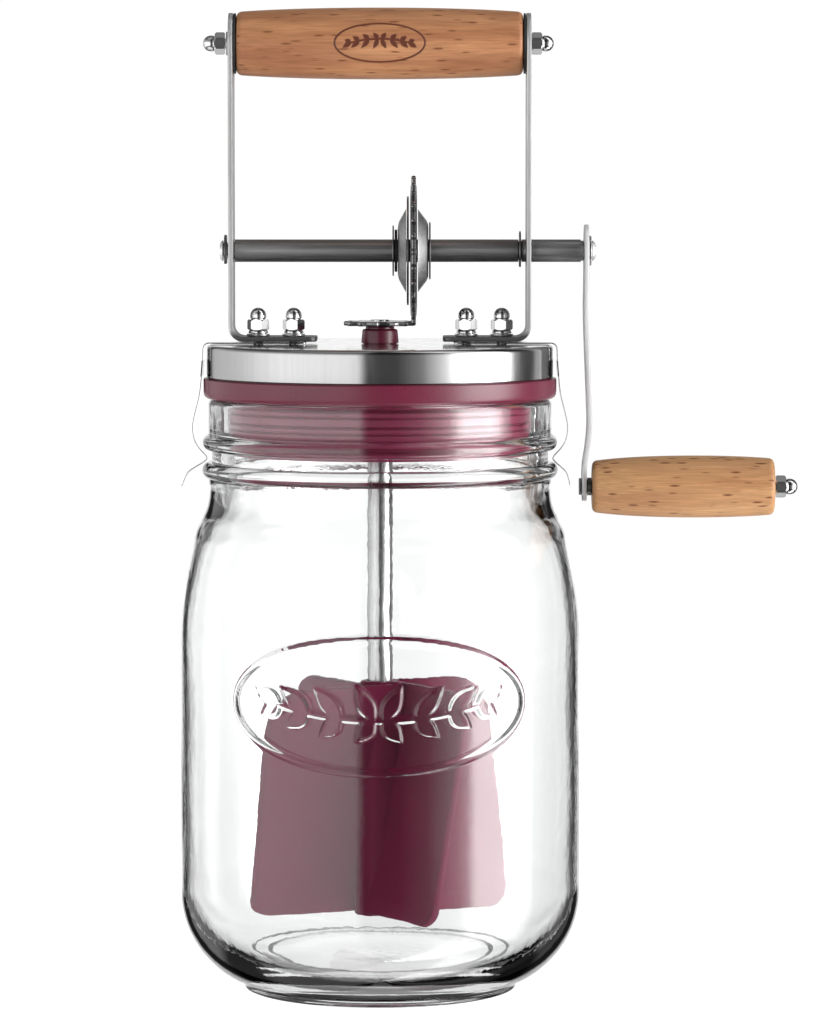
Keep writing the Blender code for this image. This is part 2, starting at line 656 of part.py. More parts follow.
def make_knob(plain_nut):
    at = (0, 0, KNOB_Z)
    right = KNOB_LEFT + KNOB_LENGTH
    profile = handle_profile(KNOB_LENGTH, 7.4, 9.0, 8.0, KNOB_BORE)
    turned("crank_knob", profile, BEECH, KNOB, (KNOB_LEFT, 0, KNOB_Z), FACING_X, ring=True)
    inner = KNOB_ARM_X - SHEET / 2 - 0.15
    shoulder = right + 0.3
    stretches = [
        (SCREW_RADIUS, shoulder, shoulder + 3.9),
        (KNOB_BOLT_RADIUS, inner, shoulder),
        (2.35, inner - 0.7, inner),
    ]
    turned("knob_bolt", rod_profile(stretches), DARK_STEEL, CRANK, at, FACING_X, steps=SMALL_STEPS)
    spacer = ring_profile(2.5, KNOB_BOLT_RADIUS + 0.15, KNOB_ARM_X + SHEET / 2 + 0.2, KNOB_LEFT - 0.2)
    turned("knob_spacer", spacer, DARK_STEEL, CRANK, at, FACING_X, steps=SMALL_STEPS, ring=True)
    add_part("knob_nut", plain_nut, BRIGHT_STEEL, CRANK, (right + 0.45, 0, KNOB_Z), FACING_X)


# The spring clips


def clip_leg_path(reach):
    """The centre line of a leg: over the lid's edge, down, into the groove and out to its tab's tip."""
    bend = arc(47.6, CLIP_Z - 1.7, 1.7, 90, 0, 4)
    bow = [bend[-1], (49.5, 175), (49.9, 170.5), (50.4, 166.5), (51.8, 160.8)]
    bow += [(52.25, 157.8), (51.8, 154.5), (50.4, 151.9)]
    hook = 48.25
    flare = reach - hook
    tab = [(hook, 149.4), (hook + 0.15 * flare, 148.0), (hook + 0.45 * flare, 146.7)]
    tab += [(hook + 0.78 * flare, 144.9), (reach, 141.2)]
    return [(CLIP_HINGE_X, CLIP_Z), *bend[:-1], *smooth_path(bow + tab, 2)]


def make_clip(side, word):
    leg = strip_outline([(side * u, v) for u, v in clip_leg_path(CLIP_REACH[side])], CLIP_SHEET)
    plate(f"clip_{word}_leg", [leg], CLIP_WIDTH, BRIGHT_STEEL, CLIPS[side], (0, 0, 0), FACING_Y)
    outer = CLIP_HINGE_X - 0.3
    half = CLIP_WIDTH / 2
    foot = [(CLIP_INNER_X, -half), (outer, -half), (outer, half), (CLIP_INNER_X, half)]
    holes = [circle(SCREW_HOLE, 12, (x, 0)) for x in BOLT_X]
    loops = [[(side * u, v) for u, v in loop] for loop in [foot, *holes]]
    plate(f"clip_{word}_foot", loops, CLIP_SHEET, BRIGHT_STEEL, HEAD, (0, 0, CLIP_Z), FLAT)


# The paddle and its shaft


def make_pinion():
    half_pitch = 180 / PINION_TEETH
    outline = gear_outline(PINION_TEETH, PINION_RADIUS, TOOTH_HEIGHT, PINION_TOOTH, half_pitch)
    hole = circle(SHAFT_SEAT_RADIUS + 0.15, SMALL_STEPS)
    plate("pinion", [outline, hole], TOOTH_THICKNESS, STEEL, STIRRER, (0, 0, PINION_Z), FLAT)


def make_paddle_shaft():
    seat_z = PINION_Z - TOOTH_THICKNESS / 2 - 0.15
    groove_bottom, groove_top = SHAFT_CLIP_Z - 0.5, SHAFT_CLIP_Z + 0.5
    stretches = [
        (SHAFT_SEAT_RADIUS, seat_z, PINION_Z + TOOTH_THICKNESS / 2 + 0.4),
        (SHAFT_RADIUS, groove_top, seat_z),
        (SHAFT_GROOVE_RADIUS, groove_bottom, groove_top),
        (SHAFT_RADIUS, PADDLE_BOTTOM_Z + 4, groove_bottom),
    ]
    turned("paddle_shaft", rod_profile(stretches), STEEL, STIRRER)
    clip = c_ring_outline(6.4, SHAFT_GROOVE_RADIUS + 0.1, 70)
    plate("shaft_clip", [clip], 0.7, BRIGHT_STEEL, STIRRER, (0, 0, SHAFT_CLIP_Z), FLAT)


def blade_outline():
    """One blade from the hub's middle outwards, as (radius, height)."""
    bottom = arc(PADDLE_RADIUS - 6, PADDLE_BOTTOM_Z + 6, 6, -90, -8, 5)
    top = arc(PADDLE_RADIUS - 12, PADDLE_TOP_Z - 12, 12, 0, 90, 7)
    return [(0, PADDLE_BOTTOM_Z + 0.5), *bottom, *top, (0, PADDLE_TOP_Z)]


def make_paddle():
    """A hub on the shaft's end, and blades that lean a little round it. The shaft's hole is blind."""
    top = [(0, PADDLE_TOP_Z), (PADDLE_HUB_RADIUS - 1.6, PADDLE_TOP_Z)]
    side = [(PADDLE_HUB_RADIUS, PADDLE_TOP_Z - 3), (PADDLE_HUB_RADIUS, PADDLE_BOTTOM_Z)]
    hub = turned("paddle", top + side + [(0, PADDLE_BOTTOM_Z)], PLUM, STIRRER)
    middle = (0, 0, BLADE_MID_Z)
    outline = [(r, z - BLADE_MID_Z) for r, z in blade_outline()]
    for i in range(BLADE_COUNT):
        turn = BLADE_START + 2 * math.pi * i / BLADE_COUNT
        frame = Matrix.Rotation(turn, 3, "Z") @ Matrix.Rotation(BLADE_PITCH, 3, "X") @ FACING_Y
        name = f"paddle_blade_{i + 1}"
        blade = plate(name, [outline], BLADE_THICKNESS, PLUM, STIRRER, middle, frame)
        use_as_cutter(hub, blade, "UNION")
    depth = PADDLE_TOP_Z - PADDLE_BOTTOM_Z
    bore_middle = (0, 0, PADDLE_BOTTOM_Z + PADDLE_BORE_BOTTOM + depth / 2)
    drill(hub, SHAFT_RADIUS + 0.2, bore_middle, FLAT, STIRRER, depth=depth, segments=ROUND_STEPS)


def make_churn():
    make_jar()
    make_lid_cap()
    make_lid_insert()
    make_shaft_bush()
    collared_nut = nut_mesh(NUT_COLLAR, "collared_nut")
    plain_nut = nut_mesh(0.0, "plain_nut")
    make_foot_fasteners(collared_nut)
    for side, word in SIDES:
        make_bracket(side, word)
        make_clip(side, word)
    make_grip(plain_nut)
    make_axle()
    make_drive_gear()
    make_gear_hub()
    make_axle_clips()
    make_crank_arm()
    make_knob(plain_nut)
    make_pinion()
    make_paddle_shaft()
    make_paddle()


make_churn()
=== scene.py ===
"""The looks of the butter churn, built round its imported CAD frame.

Sizes are in millimetres, and MM turns them into metres. The front is at -Y and the crank at +X.
Most CAD nodes are stood for by a finer piece of the same size; the hidden ones get a material only.
"""

import math

import bmesh
import bpy
import numpy as np
from mathutils import Matrix, Vector


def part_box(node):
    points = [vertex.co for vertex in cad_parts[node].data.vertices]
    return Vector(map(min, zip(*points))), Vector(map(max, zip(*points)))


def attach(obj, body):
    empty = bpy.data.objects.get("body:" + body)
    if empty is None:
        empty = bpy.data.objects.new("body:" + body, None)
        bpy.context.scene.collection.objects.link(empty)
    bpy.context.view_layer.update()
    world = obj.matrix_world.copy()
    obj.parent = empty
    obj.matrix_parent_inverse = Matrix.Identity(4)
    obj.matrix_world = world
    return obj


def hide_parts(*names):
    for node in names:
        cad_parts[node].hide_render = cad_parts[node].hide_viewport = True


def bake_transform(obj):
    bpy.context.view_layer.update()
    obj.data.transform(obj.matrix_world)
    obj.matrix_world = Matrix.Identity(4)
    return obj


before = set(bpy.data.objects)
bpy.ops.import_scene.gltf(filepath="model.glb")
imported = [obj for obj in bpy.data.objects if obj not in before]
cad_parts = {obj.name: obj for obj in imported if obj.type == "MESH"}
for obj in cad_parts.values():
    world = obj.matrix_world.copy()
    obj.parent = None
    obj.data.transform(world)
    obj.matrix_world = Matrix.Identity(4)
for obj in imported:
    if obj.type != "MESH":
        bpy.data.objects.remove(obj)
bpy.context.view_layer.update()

MM = 0.001


# Places, from the frame


def middle(node):
    low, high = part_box(node)
    return (low + high) / 2 / MM


def top(node):
    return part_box(node)[1].z / MM


AXLE_Z = middle("axle").z
GRIP_Z = middle("grip").z
KNOB_Z = middle("crank_knob").z
PINION_Z = middle("pinion").z
GEAR_X = middle("drive_gear").x
ARM_X = 57.6
ARM_LOW_X = 57.15
LID_TOP_Z = top("lid_cap")
RIM_Z = top("jar")

# The jar
JAR_RADIUS = 56.0
JAR_INSIDE = 53.4
BODY_TOP_Z = 95.0
FLOOR_Z = 6.4
CORNER = 27.0
FOOT_RADIUS = 38.2
NECK_RADIUS = 48.0
MOUTH_RADIUS = 42.9
UPPER_BEAD = (47.45, 153.4, 2.2)
LOWER_BEAD = (47.5, 145.6, 2.3)
ORNAMENT_Z = 85.0
ORNAMENT_HALF = 62.0
ORNAMENT_RISE = 0.75

# The lid
CAP_RADIUS = 48.4
CAP_WALL = 0.6
CAP_BOTTOM_Z = 171.6
FLANGE_RADIUS = 49.3
FLANGE_TOP_Z = 171.3
FLANGE_BOTTOM_Z = 165.5
PLUG_RADIUS = 42.0
PLUG_INSIDE = 39.4
PLUG_BOTTOM_Z = 150.2
WEB_BOTTOM_Z = 168.6
LID_HOLE = 5.0

# The head's metalwork
SHEET = 1.3
BRACKET_X = 42.05
BRACKET_WIDTH = 17.0
BRACKET_BEND = 3.55
FOOT_END_X = 17.55
FOOT_Z = 181.6
BOLT_X = (24.1, 34.0)
AXLE_RADIUS = 3.15
JOURNAL_RADIUS = 2.4
RIVET_X = 57.1
HEAD_X = -42.5
SCREW_HOLE = 1.65
SIDES = ((-1, "left"), (1, "right"))
CLIP_Z = 181.2
CLIP_WIDTH = 13.0
CLIP_SHEET = 0.34
CLIP_INNER_X = 20.5
CLIP_REACH = {-1: 55.3, 1: 53.1}
CLIP_SHADE_Z = 174.1

# The handles
GRIP_HALF = 39.85
KNOB_LEFT = 59.3
KNOB_LENGTH = 51.0

# The paddle
SHAFT_RADIUS = 3.5
PADDLE_BOTTOM_Z = 20.0
PADDLE_TOP_Z = 86.4
PADDLE_RADIUS = 38.6
PADDLE_MIDDLE_Z = 50.0
BLADE_PITCH = math.radians(-10.5)
BLADE_START = math.radians(-60.0)

# The photograph's view
CAMERA_AT = (10.9, -1325.0, 230.7)
CAMERA_PITCH = math.radians(4.19)
CAMERA_LENS = 166.7

# The table top
FLOOR_RADIUS = 650.0

# A piece's own axes, along which its material runs
X, Z = 0, 2

# Frames: columns are where a piece's own X, Y and Z point
FLAT = Matrix.Identity(3)
FACING_X = Matrix(((0, 0, 1), (1, 0, 0), (0, 1, 0)))
FACING_LEFT = Matrix.Rotation(math.pi, 3, "Y") @ FACING_X
FACING_Y = Matrix(((1, 0, 0), (0, 0, -1), (0, 1, 0)))


# Materials


def new_material(name, colour, roughness, metallic=0.0, **inputs):
    """A Principled material, with its node tree and shader."""
    material = bpy.data.materials.new(name)
    material.use_nodes = True
    shader = material.node_tree.nodes["Principled BSDF"]
    shader.inputs["Base Color"].default_value = (*colour, 1.0)
    shader.inputs["Roughness"].default_value = roughness
    shader.inputs["Metallic"].default_value = metallic
    for key, value in inputs.items():
        shader.inputs[key.replace("_", " ")].default_value = value
    return material, material.node_tree, shader


def stretched_noise(tree, per_mm, detail=3.0, kind="ShaderNodeTexNoise"):
    """Noise on the piece's own coordinates, with so many features to the millimetre along each axis."""
    where = tree.nodes.new("ShaderNodeTexCoord")
    scale = tree.nodes.new("ShaderNodeMapping")
    scale.inputs["Scale"].default_value = tuple(n / MM for n in per_mm)
    texture = tree.nodes.new(kind)
    texture.inputs["Scale"].default_value = 1.0
    if kind == "ShaderNodeTexNoise":
        texture.inputs["Detail"].default_value = detail
    tree.links.new(where.outputs["Object"], scale.inputs["Vector"])
    tree.links.new(scale.outputs["Vector"], texture.inputs["Vector"])
    return texture


def ramp(tree, source, *stops):
    """Maps a value to colours or greys, from (position, colour or grey) stops."""
    node = tree.nodes.new("ShaderNodeValToRGB")
    elements = node.color_ramp.elements
    while len(elements) < len(stops):
        elements.new(0.5)
    for element, (position, value) in zip(elements, stops):
        element.position = position
        grey = isinstance(value, (int, float))
        element.color = (value, value, value, 1.0) if grey else (*value, 1.0)
    tree.links.new(source, node.inputs["Fac"])
    return node.outputs["Color"]


def mixed(tree, factor, first, second, blend="MIX"):
    node = tree.nodes.new("ShaderNodeMix")
    node.data_type = "RGBA"
    node.blend_type = blend
    colours = [socket for socket in node.inputs if socket.type == "RGBA"]
    for socket, value in zip((node.inputs[0], *colours), (factor, first, second)):
        if isinstance(value, (int, float)):
            socket.default_value = value
        elif isinstance(value, tuple):
            socket.default_value = (*value, 1.0)
        else:
            tree.links.new(value, socket)
    return next(socket for socket in node.outputs if socket.type == "RGBA")


def add_bump(tree, shader, height, strength, depth_mm):
    node = tree.nodes.new("ShaderNodeBump")
    node.inputs["Strength"].default_value = strength
    node.inputs["Distance"].default_value = depth_mm * MM
    tree.links.new(height, node.inputs["Height"])
    tree.links.new(node.outputs["Normal"], shader.inputs["Normal"])


def maths(tree, operation, first, second=0.0):
    node = tree.nodes.new("ShaderNodeMath")
    node.operation = operation
    for socket, value in zip(node.inputs, (first, second)):
        if isinstance(value, (int, float)):
            socket.default_value = value
        else:
            tree.links.new(value, socket)
    return node.outputs["Value"]


def parts_of(tree, vector):
    node = tree.nodes.new("ShaderNodeSeparateXYZ")
    tree.links.new(vector, node.inputs["Vector"])
    return node.outputs


def rise_between(tree, axis, start_mm, end_mm, low, high):
    """A value that goes from low to high between two places along one of the piece's own axes."""
    where = tree.nodes.new("ShaderNodeTexCoord")
    reach = tree.nodes.new("ShaderNodeMapRange")
    values = {"From Min": start_mm * MM, "From Max": end_mm * MM, "To Min": low, "To Max": high}
    for key, value in values.items():
        reach.inputs[key].default_value = value
    tree.links.new(parts_of(tree, where.outputs["Object"])[axis], reach.inputs["Value"])
    return reach.outputs["Result"]


def tint_beyond(tree, shader, tone, axis, start_mm, end_mm, tint):
    """Changes the tint of a piece past a place along one of its own axes, fading in from start to end."""
    tone = mixed(tree, rise_between(tree, axis, start_mm, end_mm, 0.0, 1.0), tone, tint)
    tree.links.new(tone, shader.inputs["Base Color"])
    return tone


def painted_shade_on_right_faces(tree, shader, tone, share):
    """Painted shade: faces that look right, on the crank's side, made darker than the cut edges."""
    surface = tree.nodes.new("ShaderNodeNewGeometry").outputs
    on_right = maths(tree, "GREATER_THAN", parts_of(tree, surface["Position"])[X])
    facing = maths(tree, "MULTIPLY", parts_of(tree, surface["Normal"])[X], on_right)
    # Painted shade on faces turned towards +X on the crank's side
    darker_tone = ramp(tree, facing, (0.85, 1.0), (0.97, share))
    tree.links.new(mixed(tree, 1.0, tone, darker_tone, "MULTIPLY"), shader.inputs["Base Color"])


def make_glass():
    material, tree, shader = new_material(
        "clear_glass", (0.985, 0.99, 0.99), 0.0, Transmission_Weight=1.0, IOR=1.5
    )
    ripples = stretched_noise(tree, (0.35, 0.35, 0.3), 2.0).outputs["Fac"]
    height = maths(tree, "MULTIPLY", ripples, rise_between(tree, Z, 128, 142, 1.0, 1.2))
    add_bump(tree, shader, height, 1.0, 0.02)
    return material


def make_steel(name, colour, rough, along, fine=6.0, streak=0.85):
    """Brushed metal, whose marks run along one axis of the piece. A low streak gives stronger marks."""
    material, tree, shader = new_material(name, colour, rough, 1.0)
    per_mm, coarse = [fine] * 3, [0.9] * 3
    per_mm[along], coarse[along] = 0.08, 0.02
    marks = stretched_noise(tree, per_mm, 4.0).outputs["Fac"]
    bands = stretched_noise(tree, coarse, 3.0).outputs["Fac"]
    tree.links.new(ramp(tree, marks, (0.3, rough * 0.75), (0.7, rough * 1.35)), shader.inputs["Roughness"])
    darker_tone = tuple(c * streak for c in colour)
    tone = ramp(tree, bands, (0.35, darker_tone), (0.62, colour))
    tree.links.new(tone, shader.inputs["Base Color"])
    add_bump(tree, shader, marks, 0.25, 0.02)
    return material, tree, shader, tone


def make_axle_steel():
    """The rod's dark steel, with the riveted ends outside the brackets bright."""
    material, tree, shader, tone = make_steel("axle_steel", (0.38, 0.375, 0.38), 0.45, Z, 3.0, 0.6)
    tone = tint_beyond(tree, shader, tone, Z, RIVET_X - 0.1, RIVET_X + 0.1, (0.85, 0.85, 0.85))
    tint_beyond(tree, shader, tone, Z, HEAD_X + 0.1, HEAD_X - 0.1, (1.0, 1.0, 1.0))
    return material


def make_bracket_steel():
    """Sheet steel, with painted shade that darkens its feet."""
    material, tree, shader, tone = make_steel("bracket_steel", (0.68, 0.68, 0.675), 0.5, Z)
    # Painted shade: the feet fade to near black just above them and below.
    tone = tint_beyond(tree, shader, tone, Z, FOOT_Z + 3.2, FOOT_Z + 1.6, (0.15, 0.15, 0.15))
    # Painted shade on its right-hand faces
    painted_shade_on_right_faces(tree, shader, tone, 0.3)
    return material


def make_right_shaded_steel(share, *steel):
    """Steel with painted shade: its right-hand faces keep only that share of its cut edges' brightness."""
    material, tree, shader, tone = make_steel(*steel)
    painted_shade_on_right_faces(tree, shader, tone, share)
    return material


def make_clip_steel():
    """Bright spring steel, with a painted black shadow across each leg beside the lid."""
    material, tree, shader, tone = make_steel("clip_steel", (0.9, 0.9, 0.9), 0.12, Z, 2.0, 0.95)
    # Painted shade: a black band across each leg where it stands beside the lid's skirt
    shade_black = (0.012, 0.012, 0.012)
    low = rise_between(tree, Z, CLIP_SHADE_Z - 2.3, CLIP_SHADE_Z - 2.1, 0.0, 1.0)
    high = rise_between(tree, Z, CLIP_SHADE_Z + 2.1, CLIP_SHADE_Z + 2.3, 1.0, 0.0)
    painted_shade_band = mixed(tree, 1.0, low, high, "MULTIPLY")
    tree.links.new(mixed(tree, painted_shade_band, tone, shade_black), shader.inputs["Base Color"])
    return material


def make_plum(name, colour, specular):
    material, tree, shader = new_material(name, colour, 0.3, Specular_IOR_Level=specular)
    clouds = stretched_noise(tree, (0.06, 0.06, 0.06), 2.0).outputs["Fac"]
    tone = mixed(tree, clouds, tuple(c * 0.85 for c in colour), tuple(c * 1.12 for c in colour))
    tree.links.new(tone, shader.inputs["Base Color"])
    grain = stretched_noise(tree, (1.5, 1.5, 1.5), 3.0).outputs["Fac"]
    tree.links.new(ramp(tree, grain, (0.3, 0.27), (0.7, 0.33)), shader.inputs["Roughness"])
    add_bump(tree, shader, grain, 0.04, 0.04)
    return material, tree, shader, tone


def make_insert_plum():
    """The insert's plastic, which is lighter on its plug, below the flange."""
    material, tree, shader, tone = make_plum("insert_plastic", (0.14, 0.0125, 0.037), 0.5)
    tint_beyond(tree, shader, tone, Z, FLANGE_BOTTOM_Z + 0.1, FLANGE_BOTTOM_Z - 0.1, (0.32, 0.03, 0.095))
    return material


def make_beech(name, light, dark):
    """Oiled beech, its grain along Z: broad bands, fine lines, short dark flecks and a burnt mark."""
    material, tree, shader = new_material(name, light, 0.42, Specular_IOR_Level=0.35)
    bands = stretched_noise(tree, (0.16, 0.16, 0.02), 3.0).outputs["Fac"]
    lines = stretched_noise(tree, (2.6, 2.6, 0.1), 4.0).outputs["Fac"]
    base = ramp(tree, bands, (0.36, dark), (0.62, light))
    fine = mixed(tree, 0.55, base, ramp(tree, lines, (0.34, 0.55), (0.66, 1.0)), "MULTIPLY")
    cells = stretched_noise(tree, (0.85, 0.85, 0.17), kind="ShaderNodeTexVoronoi")
    near = ramp(tree, cells.outputs["Distance"], (0.16, 1.0), (0.33, 0.0))
    chosen = ramp(tree, cells.outputs["Color"], (0.42, 0.0), (0.55, 1.0))
    flecks = mixed(tree, 1.0, near, chosen, "MULTIPLY")
    flecked = mixed(tree, flecks, fine, (0.2, 0.07, 0.03))
    burnt = tree.nodes.new("ShaderNodeAttribute")
    burnt.attribute_name = "burnt"
    marked = mixed(tree, burnt.outputs["Fac"], flecked, (0.12, 0.03, 0.014))
    tree.links.new(marked, shader.inputs["Base Color"])
    tree.links.new(ramp(tree, lines, (0.3, 0.36), (0.7, 0.5)), shader.inputs["Roughness"])
    add_bump(tree, shader, lines, 0.2, 0.05)
    return material


def make_black():
    material, tree, shader = new_material("black_plastic", (0.02, 0.02, 0.02), 0.5)
    grain = stretched_noise(tree, (2.0, 2.0, 2.0), 3.0).outputs["Fac"]
    tree.links.new(ramp(tree, grain, (0.3, 0.42), (0.7, 0.6)), shader.inputs["Roughness"])
    add_bump(tree, shader, grain, 0.2, 0.04)
    return material


GLASS = make_glass()
CAP_STEEL = make_steel("cap_steel", (0.44, 0.44, 0.44), 0.13, Z, 0.5, 0.96)[0]
BRACKET_STEEL = make_bracket_steel()
# The arm's steel carries painted shade on its right-hand faces
ARM_STEEL = make_right_shaded_steel(0.22, "arm_steel", (0.93, 0.93, 0.93), 0.75, Z, 6.0, 0.93)
SHEET_STEEL = make_steel("sheet_steel", (0.6, 0.6, 0.6), 0.3, X)[0]
CUP_STEEL = make_steel("cup_steel", (0.42, 0.42, 0.42), 0.42, X)[0]
SCREW_STEEL = make_steel("screw_steel", (0.6, 0.6, 0.6), 0.3, X)[0]
SHAFT_STEEL = make_steel("shaft_steel", (0.6, 0.6, 0.6), 0.22, Z)[0]
NUT_STEEL = make_steel("nut_steel", (0.72, 0.72, 0.72), 0.12, Z, 2.0)[0]
CLIP_STEEL = make_clip_steel()
AXLE_STEEL = make_axle_steel()
RING_STEEL = make_steel("ring_steel", (0.2, 0.2, 0.2), 0.3, X)[0]
# The large gear's steel carries painted shade on its right-hand faces
GEAR_STEEL = make_right_shaded_steel(0.35, "gear_steel", (0.22, 0.215, 0.22), 0.22, Z)
PLUM = make_plum("plum_plastic", (0.14, 0.0125, 0.037), 0.5)[0]
INSERT_PLUM = make_insert_plum()
PADDLE_PLUM = make_plum("paddle_plum", (0.2, 0.0125, 0.057), 0.05)[0]
BLACK = make_black()
GRIP_BEECH = make_beech("grip_beech", (0.58, 0.275, 0.127), (0.38, 0.15, 0.068))
KNOB_BEECH = make_beech("knob_beech", (0.69, 0.38, 0.175), (0.55, 0.27, 0.122))


# Outlines


def between(first, last, parts):
    """Points on the straight line from the first to the last, at those parts of its length."""
    return [tuple(a + (b - a) * t for a, b in zip(first, last)) for t in parts]


def polar(radius, degrees, u=0.0, v=0.0):
    """The point at that radius and angle round (u, v)."""
    angle = math.radians(degrees)
    return u + radius * math.cos(angle), v + radius * math.sin(angle)


def arc(u, v, radius, start_deg, end_deg, count):
    """Points round (u, v), evenly spaced from the first angle to the second."""
    turns = (start_deg + (end_deg - start_deg) * i / (count - 1) for i in range(count))
    return [polar(radius, turn, u, v) for turn in turns]


def circle(radius, count, centre=(0.0, 0.0)):
    return arc(*centre, radius, 0, 360 - 360 / count, count)


def bezier(start, lead, follow, end, count):
    """Points along a cubic curve, without its first point."""
    points = []
    for i in range(1, count + 1):
        t = i / count
        weights = ((1 - t) ** 3, 3 * t * (1 - t) ** 2, 3 * t * t * (1 - t), t**3)
        ends = (start, lead, follow, end)
        points.append(tuple(sum(w * p[k] for w, p in zip(weights, ends)) for k in (0, 1)))
    return points


def smooth_path(points, count):
    """A Catmull-Rom curve through the points, with count steps between each two."""
    ends = [points[0], *points, points[-1]]
    path = [points[0]]
    for a, b, c, d in zip(ends, ends[1:], ends[2:], ends[3:]):
        lead = tuple(b[k] + (c[k] - a[k]) / 6 for k in (0, 1))
        follow = tuple(c[k] - (d[k] - b[k]) / 6 for k in (0, 1))
        path += bezier(b, lead, follow, c, count)
    return path


def rounded(points, ring=False, steps=4):
    """The outline, with each corner that carries a third value rounded to about that radius."""
    outline = []
    last = len(points) - 1
    for i, point in enumerate(points):
        if len(point) < 3 or (not ring and i in (0, last)):
            outline.append(tuple(point[:2]))
            continue
        here = Vector(point[:2])
        before = Vector(points[i - 1][:2]) - here
        after = Vector(points[(i + 1) % len(points)][:2]) - here
        reach = min(point[2], before.length * 0.48, after.length * 0.48)
        start, end = here + before.normalized() * reach, here + after.normalized() * reach
        for k in range(steps + 1):
            t = k / steps
            outline.append(tuple(start * (1 - t) ** 2 + here * 2 * t * (1 - t) + end * t * t))
    return outline


def ring_outline(outer, inner, bottom, top_v, edge=0.12):
    """The section of a flat ring with eased edges."""
    corners = [(outer, top_v, edge), (outer, bottom, edge), (inner, bottom, edge), (inner, top_v, edge)]
    return rounded(corners, ring=True, steps=3)


# Solids


def new_object(name, data):
    obj = bpy.data.objects.new(name, data)
    bpy.context.scene.collection.objects.link(obj)
    return obj


def finished(solid, sharp_deg=35.0):
    """A bmesh made into a mesh that is smooth except at its sharp edges."""
    bmesh.ops.remove_doubles(solid, verts=solid.verts, dist=1e-7)
    bmesh.ops.recalc_face_normals(solid, faces=solid.faces)
    mesh = bpy.data.meshes.new("shape")
    solid.to_mesh(mesh)
    solid.free()
    mesh.shade_smooth()
    mesh.set_sharp_from_angle(angle=math.radians(sharp_deg))
    return mesh


def lathe(profile, steps=96, ring=False, sharp_deg=35.0):
    """A profile of (radius, height) points turned about Z."""
    solid = bmesh.new()
    verts = [solid.verts.new((r * MM, 0.0, h * MM)) for r, h in profile]
    pairs = list(zip(verts, verts[1:]))
    if ring:
        pairs.append((verts[-1], verts[0]))
    edges = [solid.edges.new(pair) for pair in pairs]
    bmesh.ops.spin(
        solid, geom=verts + edges, cent=(0, 0, 0), axis=(0, 0, 1), dvec=(0, 0, 0),
        angle=2 * math.pi, steps=steps, use_merge=True,
    )
    return finished(solid, sharp_deg)


def plate(loops, thickness, edge=0.15):
    """A flat outline, with any holes as further loops, thickened evenly, with eased edges."""
    curve = bpy.data.curves.new("outline", "CURVE")
    curve.dimensions = "2D"
    curve.fill_mode = "BOTH"
    curve.extrude = (thickness / 2 - edge) * MM
    curve.bevel_depth = edge * MM
    curve.bevel_resolution = 1
    curve.offset = -edge * MM
    for loop in loops:
        spline = curve.splines.new("POLY")
        spline.points.add(len(loop) - 1)
        for point, (u, v) in zip(spline.points, loop):
            point.co = (u * MM, v * MM, 0.0, 1.0)
        spline.use_cyclic_u = True
    source = new_object("outline", curve)
    graph = bpy.context.evaluated_depsgraph_get()
    solid = bmesh.new()
    solid.from_mesh(source.evaluated_get(graph).to_mesh())
    bpy.data.objects.remove(source)
    bpy.data.curves.remove(curve)
    return finished(solid)


def bent(mesh, path):
    """A flat strip, which lies along X with its thickness in Z, laid along a path in the XZ plane."""
    points = np.array(path, float)
    legs = np.diff(points, axis=0)
    lengths = np.linalg.norm(legs, axis=1)
    stations = np.concatenate([[0.0], np.cumsum(lengths)])
    directions = legs / lengths[:, None]
    corners = np.vstack([directions[:1], directions[:-1] + directions[1:], directions[-1:]])
    corners /= np.linalg.norm(corners, axis=1)[:, None]
    solid = bmesh.new()
    solid.from_mesh(mesh)
    for station in stations[1:-1]:
        everything = solid.verts[:] + solid.edges[:] + solid.faces[:]
        bmesh.ops.bisect_plane(solid, geom=everything, plane_co=(station * MM, 0, 0), plane_no=(1, 0, 0))
    for vert in solid.verts:
        s = vert.co.x / MM
        at = [np.interp(s, stations, points[:, k]) for k in (0, 1)]
        along = [np.interp(s, stations, corners[:, k]) for k in (0, 1)]
        vert.co = Vector((at[0] * MM - along[1] * vert.co.z, vert.co.y, at[1] * MM + along[0] * vert.co.z))
    return finished(solid)


def combined(mesh, *changes):
    """The mesh after Booleans with others, given as (operation, mesh, matrix)."""
    base = new_object("base", mesh)
    helpers = []
    for operation, other, matrix in changes:
        helper = new_object("helper", other)
        helper.matrix_world = matrix
        helpers.append(helper)
        change = base.modifiers.new("change", "BOOLEAN")
        change.operation = operation
        change.object = helper
    graph = bpy.context.evaluated_depsgraph_get()
    solid = bmesh.new()
    solid.from_mesh(base.evaluated_get(graph).to_mesh())
    for helper in [base, *helpers]:
        bpy.data.objects.remove(helper)
    return finished(solid)


def add(name, mesh, material, body, *nodes, at=(0, 0, 0), turn=FLAT):
    """One piece in its place, which stands for CAD nodes and rides on a body."""
    piece = new_object(name, mesh)
    piece.matrix_world = Matrix.Translation(Vector(at) * MM) @ turn.to_4x4()
    if not mesh.materials:
        mesh.materials.append(material)
    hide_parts(*nodes)
    if body:
        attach(piece, body)
    return piece


# The ornament: an oval frame round a leafy sprig


def leaf(u, v, root, lean_deg, length, width):
    """How far inside a pointed leaf each place is, in millimetres, from the leaf's root outwards."""
    angle = math.radians(lean_deg)
    along = (u - root[0]) * math.cos(angle) + (v - root[1]) * math.sin(angle)
    across = -(u - root[0]) * math.sin(angle) + (v - root[1]) * math.cos(angle)
    t = np.clip(along / length, 0, 1)
    half = width / 2 * np.sin(np.pi * t**0.8)
    outside = np.maximum(np.abs(along - length / 2) - length / 2, 0)
    return half - np.abs(across) - outside


def oval_line(u, v, half_u, half_v, line):
    """How far inside a thin oval line each place is."""
    reach = np.sqrt((u / half_u) ** 2 + (v / half_v) ** 2) + 1e-9
    slope = np.sqrt((u / half_u**2) ** 2 + (v / half_v**2) ** 2) / reach + 1e-9
    return line / 2 - np.abs(reach - 1) / slope


